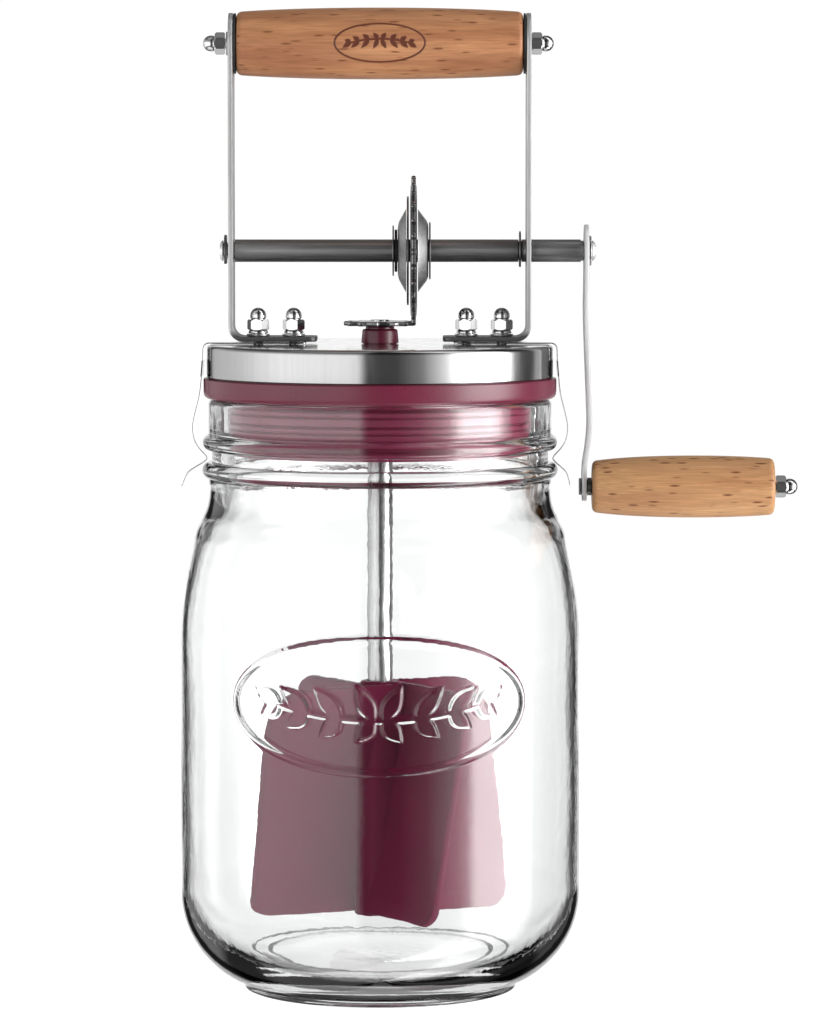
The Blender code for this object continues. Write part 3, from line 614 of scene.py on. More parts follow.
def sprig(u, v, scale, line):
    """How far inside the sprig each place is: a stem with pairs of leaves, the same left and right."""
    u, v = np.abs(u) / scale, v / scale
    stem = line / scale / 2 - np.abs(v + 3.0 - 0.006 * u * u) - np.maximum(u - 27.0, 0)
    inside = stem
    for place, rise, length in ((1.0, 62, 8.5), (8.0, 48, 9.0), (15.5, 40, 8.5), (22.0, 30, 7.5)):
        root = (place, -3.0 + 0.006 * place * place)
        for lean in (rise, -rise * 0.8):
            blade = leaf(u, v, root, lean, length * (1.0 if lean > 0 else 0.72), 3.6)
            inside = np.maximum(inside, blade)
    return inside * scale


def eased(inside, edge):
    """0 outside a shape and 1 well inside it, with a soft edge of that width."""
    t = np.clip(inside / edge + 0.5, 0, 1)
    return t * t * (3 - 2 * t)


def ornament(u, v, half_u, half_v, line, scale):
    frame_line = oval_line(u, v, half_u, half_v, line)
    return np.maximum(frame_line, sprig(u, v, scale, line))


def turned_grid(profile, columns, shift):
    """A closed turned mesh from a profile and its columns' angles, moved outwards by shift(angle, r, h)."""
    rows = np.array(profile, float)
    angles = np.array(columns)
    r = np.repeat(rows[:, :1], len(angles), axis=1)
    h = np.repeat(rows[:, 1:], len(angles), axis=1)
    a = np.repeat(angles[None, :], len(rows), axis=0)
    moved = r + shift(a, r, h)
    points = np.stack([moved * np.cos(a), moved * np.sin(a), h], axis=-1).reshape(-1, 3) * MM
    count = len(angles)
    faces = []
    for i in range(len(rows) - 1):
        for j in range(count):
            k = (j + 1) % count
            faces.append((i * count + j, i * count + k, (i + 1) * count + k, (i + 1) * count + j))
    mesh = bpy.data.meshes.new("turned")
    mesh.from_pydata(points.tolist(), [], faces)
    solid = bmesh.new()
    solid.from_mesh(mesh)
    bpy.data.meshes.remove(mesh)
    return solid


def column_angles(front_half_deg, fine_deg, coarse_deg):
    """Angles all the way round, close together within so many degrees of the front."""
    fine = np.arange(-front_half_deg, front_half_deg, fine_deg)
    rest = 360 - 2 * front_half_deg
    coarse = front_half_deg + np.arange(round(rest / coarse_deg)) * rest / round(rest / coarse_deg)
    return np.radians(np.concatenate([fine, coarse]) - 90.0)


# The jar


def jar_profile():
    """The whole section, from the middle of the floor inside, up and over the rim and down to the base."""
    inside = [(0.0, FLOOR_Z + 1.2), (12.0, FLOOR_Z + 1.0), (22.0, FLOOR_Z + 0.3)]
    inside += arc(JAR_INSIDE - 22, FLOOR_Z + 22, 22, -88, 0, 24)
    inside += [(JAR_INSIDE, h) for h in range(30, int(BODY_TOP_Z), 6)]
    inside += bezier((JAR_INSIDE, BODY_TOP_Z), (JAR_INSIDE, 111), (51.0, 119.5), (49.1, 126), 16)
    inside += bezier((49.1, 126), (47.5, 131.4), (43.4, 133), (MOUTH_RADIUS, 141), 12)
    rim = rounded(
        [(MOUTH_RADIUS, 141), (MOUTH_RADIUS, RIM_Z, 1.0), (NECK_RADIUS, RIM_Z, 1.2), (NECK_RADIUS, 157.0)],
        steps=6,
    )[1:-1]
    neck = [(NECK_RADIUS, h) for h in (163.0, 161.0, 159.0, 157.4, 156.2)]
    upper = arc(*UPPER_BEAD, 65, -100, 16)
    lower = arc(*LOWER_BEAD, 100, -77, 16)
    groove = between(upper[-1], lower[0], (0.2, 0.4, 0.6, 0.8))
    neck_root, shoulder_corner = (47.7, 140.0), (51.6, 128.0)
    under = between(lower[-1], neck_root, (0.25, 0.5, 0.75))
    shoulder = [neck_root]
    shoulder += bezier(neck_root, (47.9, 133.2), (50.6, 132.4), shoulder_corner, 14)
    shoulder += bezier(shoulder_corner, (53.2, 120.5), (JAR_RADIUS, 112), (JAR_RADIUS, BODY_TOP_Z), 70)
    wall = [(JAR_RADIUS, h) for h in np.arange(BODY_TOP_Z - 0.4, ORNAMENT_Z - 22, -0.4)]
    wall += [(JAR_RADIUS, h) for h in (58, 52, 46, 40, 34)]
    corner = arc(JAR_RADIUS - CORNER, CORNER, CORNER, 0, -69, 30)
    foot = [(FOOT_RADIUS, 0.9), (FOOT_RADIUS, 0.0, 0.7), (33.0, 0.0, 0.5), (31.5, 0.8, 0.5), (0.0, 0.8)]
    outside = rim + neck + upper + groove + lower + under + shoulder + wall + corner + rounded(foot, steps=4)
    return inside + outside


def jar_shift(angle, radius, height):
    """The ornament on the front, and the slight waves that moulded glass has inside."""
    turn = np.mod(angle + math.pi / 2 + math.pi, 2 * math.pi) - math.pi
    across = turn * JAR_RADIUS
    outside = radius > JAR_INSIDE + 0.5
    near = outside & (np.abs(across) < ORNAMENT_HALF) & (np.abs(height - ORNAMENT_Z) < 22)
    inside_by = ornament(across, height - ORNAMENT_Z, 43.0, 18.0, 1.5, 1.25)
    raised = np.where(near, ORNAMENT_RISE * eased(inside_by, 0.8), 0.0)
    inner = (radius < JAR_INSIDE + 0.01) & (radius > 20) & (height > FLOOR_Z)
    waves = 0.04 * np.sin(3 * angle + height * 0.055) + 0.03 * np.sin(5 * angle - height * 0.09 + 1.3)
    waves += 0.02 * np.sin(9 * angle + height * 0.16)
    calm = np.clip((RIM_Z - 22 - height) / 30, 0, 1) * np.clip((radius - 20) / 20, 0, 1)
    return raised + np.where(inner, waves * calm, 0.0)


def make_jar():
    columns = column_angles(50.0, 0.42, 2.4)
    solid = turned_grid(jar_profile(), columns, jar_shift)
    mesh = finished(solid, 60.0)
    add("glass_jar", mesh, GLASS, "jar", "jar")


# The lid


def make_cap():
    wall_inside = CAP_RADIUS - CAP_WALL
    outline = [
        (LID_HOLE, LID_TOP_Z),
        (CAP_RADIUS - 3.2, LID_TOP_Z, 0.5),
        (CAP_RADIUS, LID_TOP_Z - 0.1, 1.5),
        (CAP_RADIUS, CAP_BOTTOM_Z, 0.25),
        (wall_inside, CAP_BOTTOM_Z, 0.25),
        (wall_inside, LID_TOP_Z - CAP_WALL - 0.1, 1.0),
        (LID_HOLE, LID_TOP_Z - CAP_WALL),
    ]
    cap = lathe(rounded(outline, steps=6), steps=160, ring=True)
    drill = lathe([(0, 3), (SCREW_HOLE, 3), (SCREW_HOLE, -3), (0, -3)], steps=24)
    holes = [Matrix.Translation((side * x * MM, 0, LID_TOP_Z * MM)) for x in BOLT_X for side in (-1, 1)]
    cuts = [("DIFFERENCE", drill, hole) for hole in holes]
    add("steel_cap", combined(cap, *cuts), CAP_STEEL, "head", "lid_cap")


def make_insert():
    wall = CAP_RADIUS - CAP_WALL - 0.35
    wall_top = LID_TOP_Z - 2.2
    outline = [(wall, wall_top, 0.4), (wall, FLANGE_TOP_Z), (FLANGE_RADIUS, FLANGE_TOP_Z, 0.4)]
    outline += [(FLANGE_RADIUS, FLANGE_BOTTOM_Z + 0.2, 1.8), (PLUG_RADIUS + 3, FLANGE_BOTTOM_Z)]
    outline.append((PLUG_RADIUS, FLANGE_BOTTOM_Z, 0.4))
    for i in range(3):
        z = FLANGE_BOTTOM_Z - 2.6 - 4.4 * i
        outline += [(PLUG_RADIUS, z + 1.3), (PLUG_RADIUS - 0.5, z + 0.95), (PLUG_RADIUS + 0.5, z + 0.5, 0.3)]
        outline += [(PLUG_RADIUS + 0.5, z - 0.5, 0.3), (PLUG_RADIUS - 0.5, z - 0.95), (PLUG_RADIUS, z - 1.3)]
    outline += [(PLUG_RADIUS - 0.6, PLUG_BOTTOM_Z, 0.6), (PLUG_INSIDE, PLUG_BOTTOM_Z, 0.6)]
    hole = LID_HOLE + 0.1
    outline += [(PLUG_INSIDE, WEB_BOTTOM_Z, 1.2), (hole, WEB_BOTTOM_Z), (hole, FLANGE_TOP_Z)]
    outline += [(wall - 2.2, FLANGE_TOP_Z, 0.6), (wall - 2.2, wall_top, 0.4)]
    insert = lathe(rounded(outline, ring=True), steps=160, ring=True)
    add("plum_insert", insert, INSERT_PLUM, "head", "lid_insert")


def make_bush():
    lip_z = PINION_Z - 0.9
    outline = [(4.0, lip_z, 0.3), (4.0, 185.0), (4.9, 184.8, 0.4), (5.25, LID_TOP_Z + 0.25, 0.15)]
    outline += [(4.7, LID_TOP_Z + 0.2), (4.7, WEB_BOTTOM_Z - 0.25), (5.5, WEB_BOTTOM_Z - 0.3, 0.2)]
    outline += [(4.6, WEB_BOTTOM_Z - 1.5), (3.6, WEB_BOTTOM_Z - 1.5), (3.6, lip_z, 0.2)]
    add("plum_bush", lathe(rounded(outline, ring=True), 48, True), PLUM, "head", "shaft_bush")


# Fasteners


def nut_mesh(collar):
    """An acorn nut that stands on z = 0: a chamfered hexagon, a waist and a dome, with a blind hole."""
    flats, hex_height, core = 5.4, 2.9, 2.25
    low, high = collar, collar + hex_height
    solid = bmesh.new()
    corner = flats / 2 / math.cos(math.radians(30))
    bmesh.ops.create_cone(
        solid, cap_ends=True, segments=6, radius1=corner * MM, radius2=corner * MM, depth=hex_height * MM
    )
    bmesh.ops.translate(solid, verts=solid.verts, vec=(0, 0, (low + high) / 2 * MM))
    hexagon = finished(solid)
    chamfer = [(0, high + 0.1), (flats / 2 - 0.05, high + 0.1), (corner + 0.1, high - 0.55)]
    chamfer += [(corner + 0.1, low + 0.45), (flats / 2, low - 0.1), (0, low - 0.1)]
    top_z = high + 3.3
    dome = [(0, top_z), *arc(0, top_z - core, core, 78, 0, 9), (core, high + 0.5), (core - 0.25, high + 0.15)]
    dome += [(core - 0.25, high - 0.5), (core, low + 0.3), (2.75, 0.45), (2.75, 0.12), (2.6, 0), (0, 0)]
    if not collar:
        dome = dome[:-5] + [(core - 0.1, 0), (0, 0)]
    bore = lathe([(0, 5.2), (SCREW_HOLE - 0.2, 4.4), (SCREW_HOLE - 0.2, -1), (0, -1)], steps=24)
    place = Matrix.Identity(4)
    return combined(
        hexagon,
        ("INTERSECT", lathe(chamfer, steps=48), place),
        ("UNION", lathe(dome, steps=48), place),
        ("DIFFERENCE", bore, place),
    )


def make_foot_fasteners():
    nut = nut_mesh(1.0)
    washer = lathe(ring_outline(3.2, SCREW_HOLE, 0.15, 0.65), 48, True)
    foot_top = FOOT_Z + SHEET
    for side, word in SIDES:
        for x, place in zip(BOLT_X, ("inner", "outer")):
            spot = f"{word}_{place}"
            at = (side * x, 0, foot_top)
            nut_at = (side * x, 0, foot_top + 0.8)
            add(f"washer_{spot}", washer, SHEET_STEEL, "head", f"foot_washer_{spot}", at=at)
            twist = Matrix.Rotation(math.radians(21), 3, "Z")
            add(f"acorn_nut_{spot}", nut, NUT_STEEL, "head", f"foot_nut_{spot}", at=nut_at, turn=twist)


# Brackets, clips and arm


def slab_outline(length, half_width, corner, end_round):
    """A strip's flat outline, from its start at x = 0, with its end fully round or like its start."""
    half = length / 2
    start = [(half, half_width), (0, half_width, corner), (0, -half_width, corner), (half, -half_width)]
    start = rounded(start, steps=5)
    if end_round:
        return start + arc(length - half_width, 0, half_width, -90, 90, 21)
    return start + [(length - x, -y) for x, y in start[1:-1]]


def make_brackets():
    for side, word in SIDES:
        centre_x, centre_z = BRACKET_X - SHEET / 2, FOOT_Z + SHEET / 2
        end_z = GRIP_Z + BRACKET_WIDTH / 2
        turn = arc(centre_x - BRACKET_BEND, centre_z + BRACKET_BEND, BRACKET_BEND, -90, 0, 9)
        path = [(FOOT_END_X, centre_z), *turn, (centre_x, end_z)]
        length = sum(math.dist(a, b) for a, b in zip(path, path[1:]))
        outline = slab_outline(length, BRACKET_WIDTH / 2, 2.5, True)
        axle_hole = (JOURNAL_RADIUS if side < 0 else AXLE_RADIUS) + 0.1
        holes = [circle(SCREW_HOLE, 24, (x - FOOT_END_X, 0)) for x in BOLT_X]
        holes.append(circle(axle_hole, 32, (length - (end_z - AXLE_Z), 0)))
        holes.append(circle(SCREW_HOLE, 24, (length - (end_z - GRIP_Z), 0)))
        strip = bent(plate([outline, *holes], SHEET, 0.22), path)
        turned = Matrix.Rotation(math.pi, 3, "Z") if side < 0 else FLAT
        add(f"upright_{word}", strip, BRACKET_STEEL, "head", f"bracket_{word}", turn=turned)


def clip_path(side):
    bend = arc(47.6, CLIP_Z - 1.7, 1.7, 90, 0, 7)
    bow = [bend[-1], (49.5, 175), (49.9, 170.5), (50.4, 166.5), (51.8, 160.8)]
    bow += [(52.25, 157.8), (51.8, 154.5), (50.4, 151.9)]
    hook, reach = 48.25, CLIP_REACH[side]
    flare = reach - hook
    tab = [(hook, 149.4), (hook + 0.15 * flare, 148.0), (hook + 0.45 * flare, 146.7)]
    tab += [(hook + 0.78 * flare, 144.9), (reach, 141.2)]
    return [(CLIP_INNER_X, CLIP_Z), *bend[:-1], *smooth_path(bow + tab, 5)]


def make_clips():
    """Each clip is one strip from under its bracket to its tab, which bends where its foot meets its leg."""
    for side, word in SIDES:
        path = clip_path(side)
        length = sum(math.dist(a, b) for a, b in zip(path, path[1:]))
        outline = slab_outline(length, CLIP_WIDTH / 2, 1.2, False)
        holes = [circle(SCREW_HOLE, 24, (x - CLIP_INNER_X, 0)) for x in BOLT_X]
        strip = bent(plate([outline, *holes], CLIP_SHEET, 0.08), path)
        if side < 0:
            strip.transform(Matrix.Rotation(math.pi, 4, "Z"))
        name = f"clip_{word}"
        piece = add(f"spring_{name}", strip, CLIP_STEEL, None, f"{name}_foot", f"{name}_leg")
        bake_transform(piece)


def make_arm():
    end_radius, top_radius = 4.0, 7.3
    top_z, end_z = AXLE_Z + top_radius, KNOB_Z - end_radius
    path = [(ARM_X, top_z), (ARM_X, 200), (57.5, 188), (58.3, 166), (58.5, 158), (57.9, 151.5)]
    path = smooth_path([*path, (ARM_LOW_X, 146), (ARM_LOW_X, end_z)], 6)
    length = sum(math.dist(a, b) for a, b in zip(path, path[1:]))
    axle_s, knob_s = top_radius, length - end_radius
    lean = math.degrees(math.asin((top_radius - end_radius) / (knob_s - axle_s)))
    outline = arc(axle_s, 0, top_radius, 90 - lean, 270 + lean, 21)
    outline += arc(knob_s, 0, end_radius, -90 + lean, 90 - lean, 17)
    holes = [circle(2.45, 32, (axle_s, 0)), circle(2.05, 24, (knob_s, 0))]
    add("crank_strip", bent(plate([outline, *holes], SHEET, 0.2), path), ARM_STEEL, "crank", "crank_arm")


# Handles


def handle_profile(length, left_radius, swell, right_radius, bore):
    """A turned wooden handle's section, from the bore's right end over the outside to its left end."""
    right_end = [(bore, length), (right_radius, length, 1.9), (right_radius + 0.02, length - 6)]
    left_end = [(left_radius + 0.02, 6), (left_radius, 0, 1.9), (bore, 0)]
    right = rounded(right_end, steps=6)[:-1]
    left = rounded(left_end, steps=6)[1:]
    lead, follow = (swell, length * 0.72), (swell, length * 0.28)
    return right + bezier(right[-1], lead, follow, left[0], 60) + left[1:]


def make_grip():
    """The carrying grip, with a small oval sprig burnt into its front."""
    length, front_radius, burn_depth = 2 * GRIP_HALF, 9.9, 0.18
    profile = handle_profile(length, 8.9, 10.3, 8.9, SCREW_HOLE + 0.2)
    fine = []
    for start, end in zip(profile, profile[1:]):
        parts = max(1, round(abs(end[1] - start[1]) / 0.16)) if start[0] > 8 else 1
        fine += between(start, end, [i / parts for i in range(parts)])
    fine.append(profile[-1])

    def mark(angle, height):
        turn = np.mod(angle + 2 * math.pi, 2 * math.pi) - math.pi
        return ornament(height - GRIP_HALF, turn * front_radius, 12.5, 5.6, 0.45, 0.36)

    def shift(angle, radius, height):
        return np.where(radius > 8, -burn_depth * eased(mark(angle, height), 0.25), 0.0)

    columns = column_angles(40.0, 0.9, 4.0) - math.pi / 2
    solid = turned_grid(fine, columns, shift)
    bmesh.ops.remove_doubles(solid, verts=solid.verts, dist=1e-7)
    mesh = finished(solid, 50.0)
    burnt = mesh.attributes.new("burnt", "FLOAT", "POINT")
    points = np.array([v.co for v in mesh.vertices]) / MM
    radius = np.hypot(points[:, 0], points[:, 1])
    depth = mark(np.arctan2(points[:, 1], points[:, 0]), points[:, 2])
    burnt.data.foreach_set("value", np.where(radius > 8, eased(depth + 0.06, 0.2), 0.0).astype(np.float32))
    at = (-GRIP_HALF, 0, GRIP_Z)
    add("wooden_grip", mesh, GRIP_BEECH, "head", "grip", at=at, turn=FACING_X)


def make_grip_ends():
    inner_face = BRACKET_X - SHEET - 0.15
    disc = lathe(ring_outline(8.4, SCREW_HOLE, 0, inner_face - GRIP_HALF - 0.15, 0.1), 64, True)
    washer = lathe(ring_outline(3.3, SCREW_HOLE, 0.15, 0.7), 48, True)
    nut = nut_mesh(0.0)
    ends = (
        ("end_disc_right", disc, BLACK, "grip_end_disc_right", GRIP_HALF + 0.15, FACING_X),
        ("end_disc_left", disc, BLACK, "grip_end_disc_left", -GRIP_HALF - 0.15, FACING_LEFT),
        ("end_washer", washer, SHEET_STEEL, "grip_washer", -BRACKET_X, FACING_LEFT),
        ("end_nut_left", nut, NUT_STEEL, "grip_nut_left", -BRACKET_X - 0.95, FACING_LEFT),
        ("end_nut_right", nut, NUT_STEEL, "grip_nut_right", BRACKET_X + 0.2, FACING_X),
    )
    for name, mesh, material, node, x, turn in ends:
        add(name, mesh, material, "head", node, at=(x, 0, GRIP_Z), turn=turn)
    knob_right = KNOB_LEFT + KNOB_LENGTH
    add("knob_end_nut", nut, NUT_STEEL, "crank", "knob_nut", at=(knob_right + 0.45, 0, KNOB_Z), turn=FACING_X)


def make_knob():
    profile = handle_profile(KNOB_LENGTH, 7.4, 9.0, 8.0, 2.5)
    mesh = lathe(profile, steps=96, ring=True)
    add("wooden_knob", mesh, KNOB_BEECH, "knob", "crank_knob", at=(KNOB_LEFT, 0, KNOB_Z), turn=FACING_X)


# Axle and gear


def rod_outline(stretches, edge=0.2):
    """A solid rod's section from (radius, left, right) stretches listed from the right."""
    points = [(0.0, stretches[0][2])]
    for radius, left, right in stretches:
        points += [(radius, right, edge), (radius, left, edge)]
    return rounded([*points, (0.0, stretches[-1][1])], steps=3)


def make_axle():
    arm_left, arm_right = ARM_X - SHEET / 2 - 0.15, ARM_X + SHEET / 2 + 0.9
    end_groove = -(BRACKET_X + 0.4)
    stretches = [
        (1.6, arm_right + 0.85, arm_right + 1.1),
        (2.35, arm_right + 0.45, arm_right + 0.85),
        (2.8, arm_right - 0.15, arm_right + 0.45),
        (2.3, arm_left, arm_right - 0.15),
        (AXLE_RADIUS - 0.35, arm_left - 0.75, arm_left),
        (AXLE_RADIUS, 39.5, arm_left - 0.75),
        (AXLE_RADIUS - 0.5, 38.6, 39.5),
        (AXLE_RADIUS, -(BRACKET_X - SHEET - 0.3), 38.6),
        (JOURNAL_RADIUS, end_groove, -(BRACKET_X - SHEET - 0.3)),
        (2.1, end_groove - 1.2, end_groove),
        (2.85, end_groove - 1.75, end_groove - 1.2),
        (2.4, end_groove - 2.05, end_groove - 1.75),
        (1.6, end_groove - 2.2, end_groove - 2.05),
    ]
    rod = lathe(rod_outline(stretches), steps=64)
    add("axle_rod", rod, AXLE_STEEL, "crank", "axle", at=(0, 0, AXLE_Z), turn=FACING_X)
    washer = lathe(ring_outline(4.2, 2.45, 0.2, 0.7), 48, True)
    at = (ARM_X + SHEET / 2, 0, AXLE_Z)
    add("arm_washer", washer, NUT_STEEL, "crank", "crank_washer", at=at, turn=FACING_X)


def tooth_outline(teeth, tip_radius, height, widths, first_deg):
    """Teeth with eased tips, widths being each one's at its tip and at its root."""
    root_radius = tip_radius - height
    tip_half = math.degrees(widths[0] / 2 / tip_radius)
    root_half = math.degrees(widths[1] / 2 / root_radius)
    points = []
    for i in range(teeth):
        middle_deg = first_deg + 360 * i / teeth
        flank = ((root_radius, root_half), (tip_radius - 0.25, tip_half + 0.3), (tip_radius, tip_half * 0.6))
        rise = [(radius, -turn) for radius, turn in flank]
        points += [polar(radius, middle_deg + turn) for radius, turn in (*rise, *reversed(flank))]
    return points


def make_gears():
    radius = AXLE_Z - PINION_Z + 0.65
    outline = tooth_outline(28, radius, 1.9, (1.2, 1.9), -90)
    bore, body = AXLE_RADIUS + 0.15, radius - 2.3
    blank = plate([outline, circle(bore, 48)], 1.3, 0.4)
    flank = [(bore, 0.95), (body - 0.8, 0.95, 0.3), (body, 0.6)]
    flank += [(body, -0.6), (body - 0.8, -0.95, 0.3), (bore, -0.95)]
    web = lathe(rounded(flank, ring=True), steps=112, ring=True)
    gear = combined(blank, ("UNION", web, Matrix.Identity(4)))
    add("large_gear", gear, GEAR_STEEL, "crank", "drive_gear", at=(GEAR_X, 0, AXLE_Z), turn=FACING_X)
    small = tooth_outline(13, 10.1, 1.9, (1.5, 2.2), 180 / 13)
    pinion = plate([small, circle(2.75, 32)], 1.3, 0.38)
    add("small_gear", pinion, GEAR_STEEL, "paddle", "pinion", at=(0, 0, PINION_Z))


def cup_outline(small, large, bore, bottom, top_h, wall=0.6):
    """A dished cup: a flat ring at the bottom and a cone that opens towards the top."""
    outline = [(large, top_h, 0.15), (small, bottom, 1.2), (bore, bottom), (bore, bottom + wall)]
    outline += [(small - 0.35, bottom + wall, 0.8), (large - wall * 1.5, top_h)]
    return rounded(outline, ring=True, steps=4)


def make_gear_hub():
    bore = AXLE_RADIUS + 0.15
    right_cup = [(r, -h) for r, h in reversed(cup_outline(7.8, 11.6, bore, -13.5, -10.6))]
    sections = {
        "gear_washer_left": (ring_outline(7.1, bore, 3.5, 3.9), GEAR_STEEL),
        "gear_spacer": (ring_outline(5.9, bore, 4.1, 4.85), BLACK),
        "gear_cup_left": (cup_outline(7.6, 11.7, bore, 5.0, 7.3), CUP_STEEL),
        "gear_disc": (ring_outline(15.2, bore, 7.5, 8.05), GEAR_STEEL),
        "gear_cup_right": (right_cup, CUP_STEEL),
        "gear_washer_right": (ring_outline(8.0, bore, 13.7, 14.15), GEAR_STEEL),
    }
    for node, (outline, material) in sections.items():
        mesh = lathe(outline, 72, True)
        add(f"{node}_turned", mesh, material, "crank", node, at=(0, 0, AXLE_Z), turn=FACING_X)


def snap_ring(outer, inner, thickness):
    """A retaining clip: a flat open ring with rounded ends."""
    mouth = 35
    outline = arc(0, 0, outer, -90 + mouth, 270 - mouth, 33)
    outline += arc(0, 0, inner, 270 - mouth * 1.2, -90 + mouth * 1.2, 25)
    return plate([outline], thickness, 0.1)


def middle_of_ring(node):
    """Where a retaining clip's centre is: on its shaft, not at the middle of its open box."""
    at = middle(node)
    return (at.x, 0, AXLE_Z) if node.startswith("axle") else (0, 0, at.z)


def make_snap_rings():
    places = {
        "axle_clip_left": (snap_ring(4.45, 2.2, 0.7), "crank", FACING_X),
        "axle_clip_right": (snap_ring(5.45, 2.75, 0.5), "crank", FACING_X),
        "shaft_clip": (snap_ring(6.4, 2.9, 0.7), "paddle", FLAT),
    }
    for node, (mesh, body, turn) in places.items():
        add(f"{node}_ring", mesh, RING_STEEL, body, node, at=middle_of_ring(node), turn=turn)


def make_knob_metal():
    shoulder = KNOB_LEFT + KNOB_LENGTH + 0.3
    inner = ARM_LOW_X - SHEET / 2 - 0.15
    stretches = [(1.3, shoulder, shoulder + 3.9), (1.9, inner, shoulder), (2.35, inner - 0.7, inner)]
    bolt = lathe(rod_outline(stretches, 0.15), steps=40)
    add("knob_pin", bolt, RING_STEEL, "crank", "knob_bolt", at=(0, 0, KNOB_Z), turn=FACING_X)
    section = ring_outline(2.5, 2.05, ARM_LOW_X + SHEET / 2 + 0.2, KNOB_LEFT - 0.2)
    spacer = lathe(section, 40, True)
    add("knob_sleeve", spacer, RING_STEEL, "crank", "knob_spacer", at=(0, 0, KNOB_Z), turn=FACING_X)


# The paddle


def make_shaft():
    seat_z, clip_z = PINION_Z - 0.8, middle("shaft_clip").z
    stretches = [
        (2.6, seat_z, PINION_Z + 1.05),
        (SHAFT_RADIUS, clip_z + 0.5, seat_z),
        (2.8, clip_z - 0.5, clip_z + 0.5),
        (SHAFT_RADIUS, PADDLE_BOTTOM_Z + 4, clip_z - 0.5),
    ]
    add("stirring_shaft", lathe(rod_outline(stretches), steps=64), SHAFT_STEEL, "paddle", "paddle_shaft")


def blade_outline():
    """One blade from the hub's middle outwards, as (radius, height above the paddle's middle)."""
    bottom = arc(PADDLE_RADIUS - 6, PADDLE_BOTTOM_Z + 6, 6, -90, -8, 10)
    crown = arc(PADDLE_RADIUS - 12, PADDLE_TOP_Z - 12, 12, 0, 90, 16)
    outline = [(0, PADDLE_BOTTOM_Z + 0.5), *bottom, *crown, (0, PADDLE_TOP_Z)]
    return [(r, z - PADDLE_MIDDLE_Z) for r, z in outline]


def make_paddle():
    hub = [(0, PADDLE_TOP_Z), (5.4, PADDLE_TOP_Z, 0.5), (7.0, PADDLE_TOP_Z - 3, 1.0)]
    hub += [(7.0, PADDLE_BOTTOM_Z, 0.8), (0, PADDLE_BOTTOM_Z)]
    blade = plate([blade_outline()], 2.6, 0.95)
    changes = []
    for i in range(4):
        turn = Matrix.Rotation(BLADE_START + math.pi / 2 * i, 3, "Z") @ Matrix.Rotation(BLADE_PITCH, 3, "X")
        matrix = Matrix.Translation((0, 0, PADDLE_MIDDLE_Z * MM)) @ (turn @ FACING_Y).to_4x4()
        changes.append(("UNION", blade, matrix))
    bore = lathe([(0, 120), (SHAFT_RADIUS + 0.2, 120), (SHAFT_RADIUS + 0.2, 22.7), (0, 22.7)], steps=48)
    changes.append(("DIFFERENCE", bore, Matrix.Identity(4)))
    mesh = combined(lathe(rounded(hub), steps=64), *changes)
    add("plum_paddle", mesh, PADDLE_PLUM, "paddle", "paddle")


def finish_hidden_nodes():
    """The CAD nodes that stay: screws and rod, almost all hidden in their nuts."""
    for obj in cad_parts.values():
        if obj.hide_render:
            continue
        obj.data.materials.clear()
        obj.data.materials.append(SCREW_STEEL)


# The studio


def make_floor():
    """A round white table top, lit a little from within so that it stays as pale as the background."""
    solid = bmesh.new()
    bmesh.ops.create_circle(solid, cap_ends=True, segments=96, radius=FLOOR_RADIUS * MM)
    bmesh.ops.translate(solid, verts=solid.verts, vec=(0, 0, -0.0002))
    floor = new_object("floor", finished(solid))
    white = (1.0, 1.0, 1.0, 1.0)
    material = new_material(
        "floor_white", (0.6, 0.6, 0.6), 0.8, Emission_Strength=0.9, Emission_Color=white
    )[0]
    floor.data.materials.append(material)
    floor.visible_glossy = False
    floor.visible_transmission = False


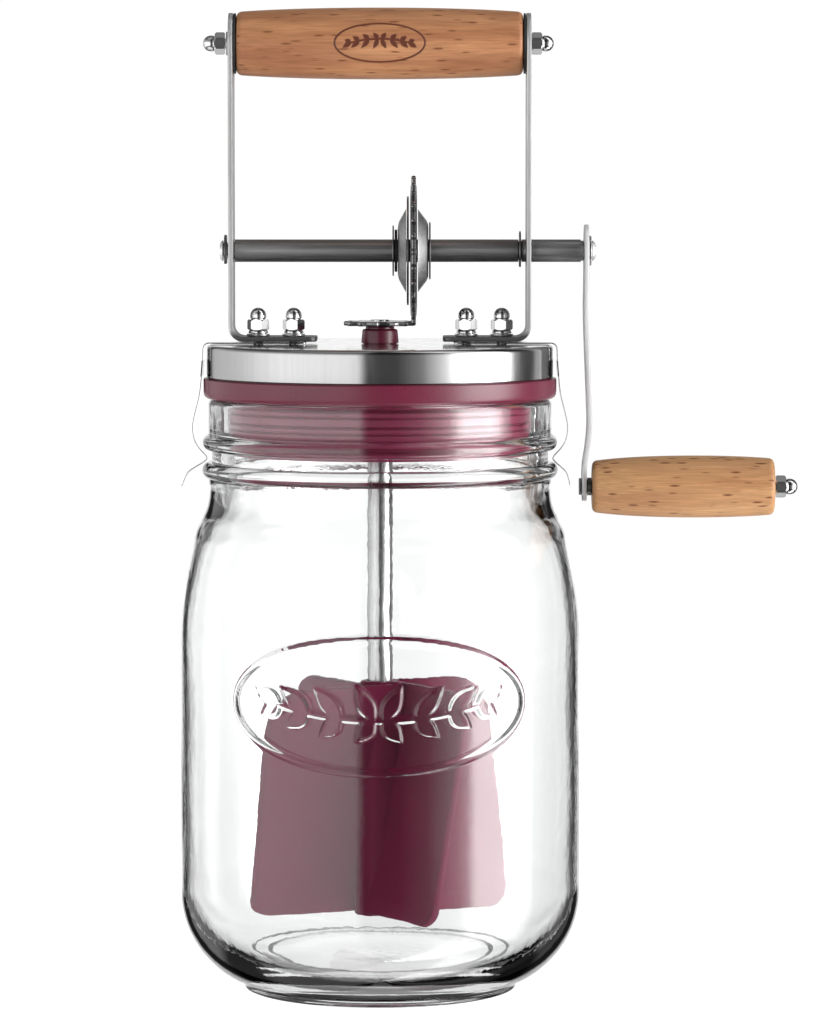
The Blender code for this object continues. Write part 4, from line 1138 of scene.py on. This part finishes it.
def make_world():
    """A studio all round: a bright wall behind, a strong soft box on the right and a weak one on the left.
    Between them it is dark, which draws the glass's edges. Seen directly, it is plain white."""
    world = bpy.data.worlds.new("studio")
    bpy.context.scene.world = world
    world.use_nodes = True
    tree = world.node_tree
    where = tree.nodes.new("ShaderNodeTexCoord")
    x, y, z = parts_of(tree, where.outputs["Generated"])
    azimuth = maths(tree, "ARCTAN2", x, maths(tree, "MULTIPLY", y, -1.0))
    turn = maths(tree, "ADD", maths(tree, "DIVIDE", azimuth, 2 * math.pi), 0.5)

    def at(degrees):
        return degrees / 360 + 0.5

    # Light by degrees round from the front, towards the crank
    strongest = 8.8
    around = (
        (-180, 1.15), (-164, 1.1), (-160, 0.04), (-150, 0.04), (-147, 0.7), (-140, 0.85), (-105, 1.2),
        (-70, 1.9), (-14, 1.75), (-9, 0.11), (12, 0.11), (28, 0.4), (38, 1.1), (46, 1.8), (52, 3.2),
        (58, strongest), (86, strongest), (100, 0.6), (110, 0.1), (122, 0.1), (128, 0.75), (134, 0.7),
        (138, 0.3), (147, 0.3), (150, 0.04), (160, 0.04), (164, 1.15), (180, 1.15),
    )
    round_about = ramp(tree, turn, *((at(place), light / strongest) for place, light in around))
    height = maths(tree, "ADD", maths(tree, "MULTIPLY", z, 0.5), 0.5)
    # Its share by height, from straight down at 0 to straight up at 1
    by_height = (
        (0.0, 0.7), (0.1, 0.6), (0.14, 0.17), (0.215, 0.15), (0.25, 0.85), (0.42, 0.82), (0.46, 1.0),
        (0.56, 1.0), (0.67, 0.5), (0.8, 0.18), (0.87, 0.13), (0.93, 0.25), (1.0, 0.25),
    )
    pattern = mixed(tree, 1.0, round_about, ramp(tree, height, *by_height), "MULTIPLY")
    studio = tree.nodes["Background"]
    tree.links.new(pattern, studio.inputs["Color"])
    studio.inputs["Strength"].default_value = strongest
    plain = tree.nodes.new("ShaderNodeBackground")
    plain.inputs["Color"].default_value = (1, 1, 1, 1)
    plain.inputs["Strength"].default_value = 1.02
    path = tree.nodes.new("ShaderNodeLightPath")
    choose = tree.nodes.new("ShaderNodeMixShader")
    tree.links.new(path.outputs["Is Camera Ray"], choose.inputs["Fac"])
    tree.links.new(studio.outputs["Background"], choose.inputs[1])
    tree.links.new(plain.outputs["Background"], choose.inputs[2])
    tree.links.new(choose.outputs["Shader"], tree.nodes["World Output"].inputs["Surface"])


def make_camera():
    data = bpy.data.cameras.new("camera")
    data.lens = CAMERA_LENS
    data.sensor_width = 36.0
    data.clip_start, data.clip_end = 0.05, 50.0
    camera = new_object("camera", data)
    camera.location = Vector(CAMERA_AT) * MM
    camera.rotation_euler = (math.pi / 2 - CAMERA_PITCH, 0, 0)
    bpy.context.scene.camera = camera
    bpy.context.scene.view_settings.view_transform = "Standard"


make_jar()
make_cap()
make_insert()
make_bush()
make_foot_fasteners()
make_brackets()
make_clips()
make_arm()
make_grip()
make_grip_ends()
make_knob()
make_axle()
make_gears()
make_gear_hub()
make_snap_rings()
make_knob_metal()
make_shaft()
make_paddle()
finish_hidden_nodes()
make_floor()
make_world()
make_camera()
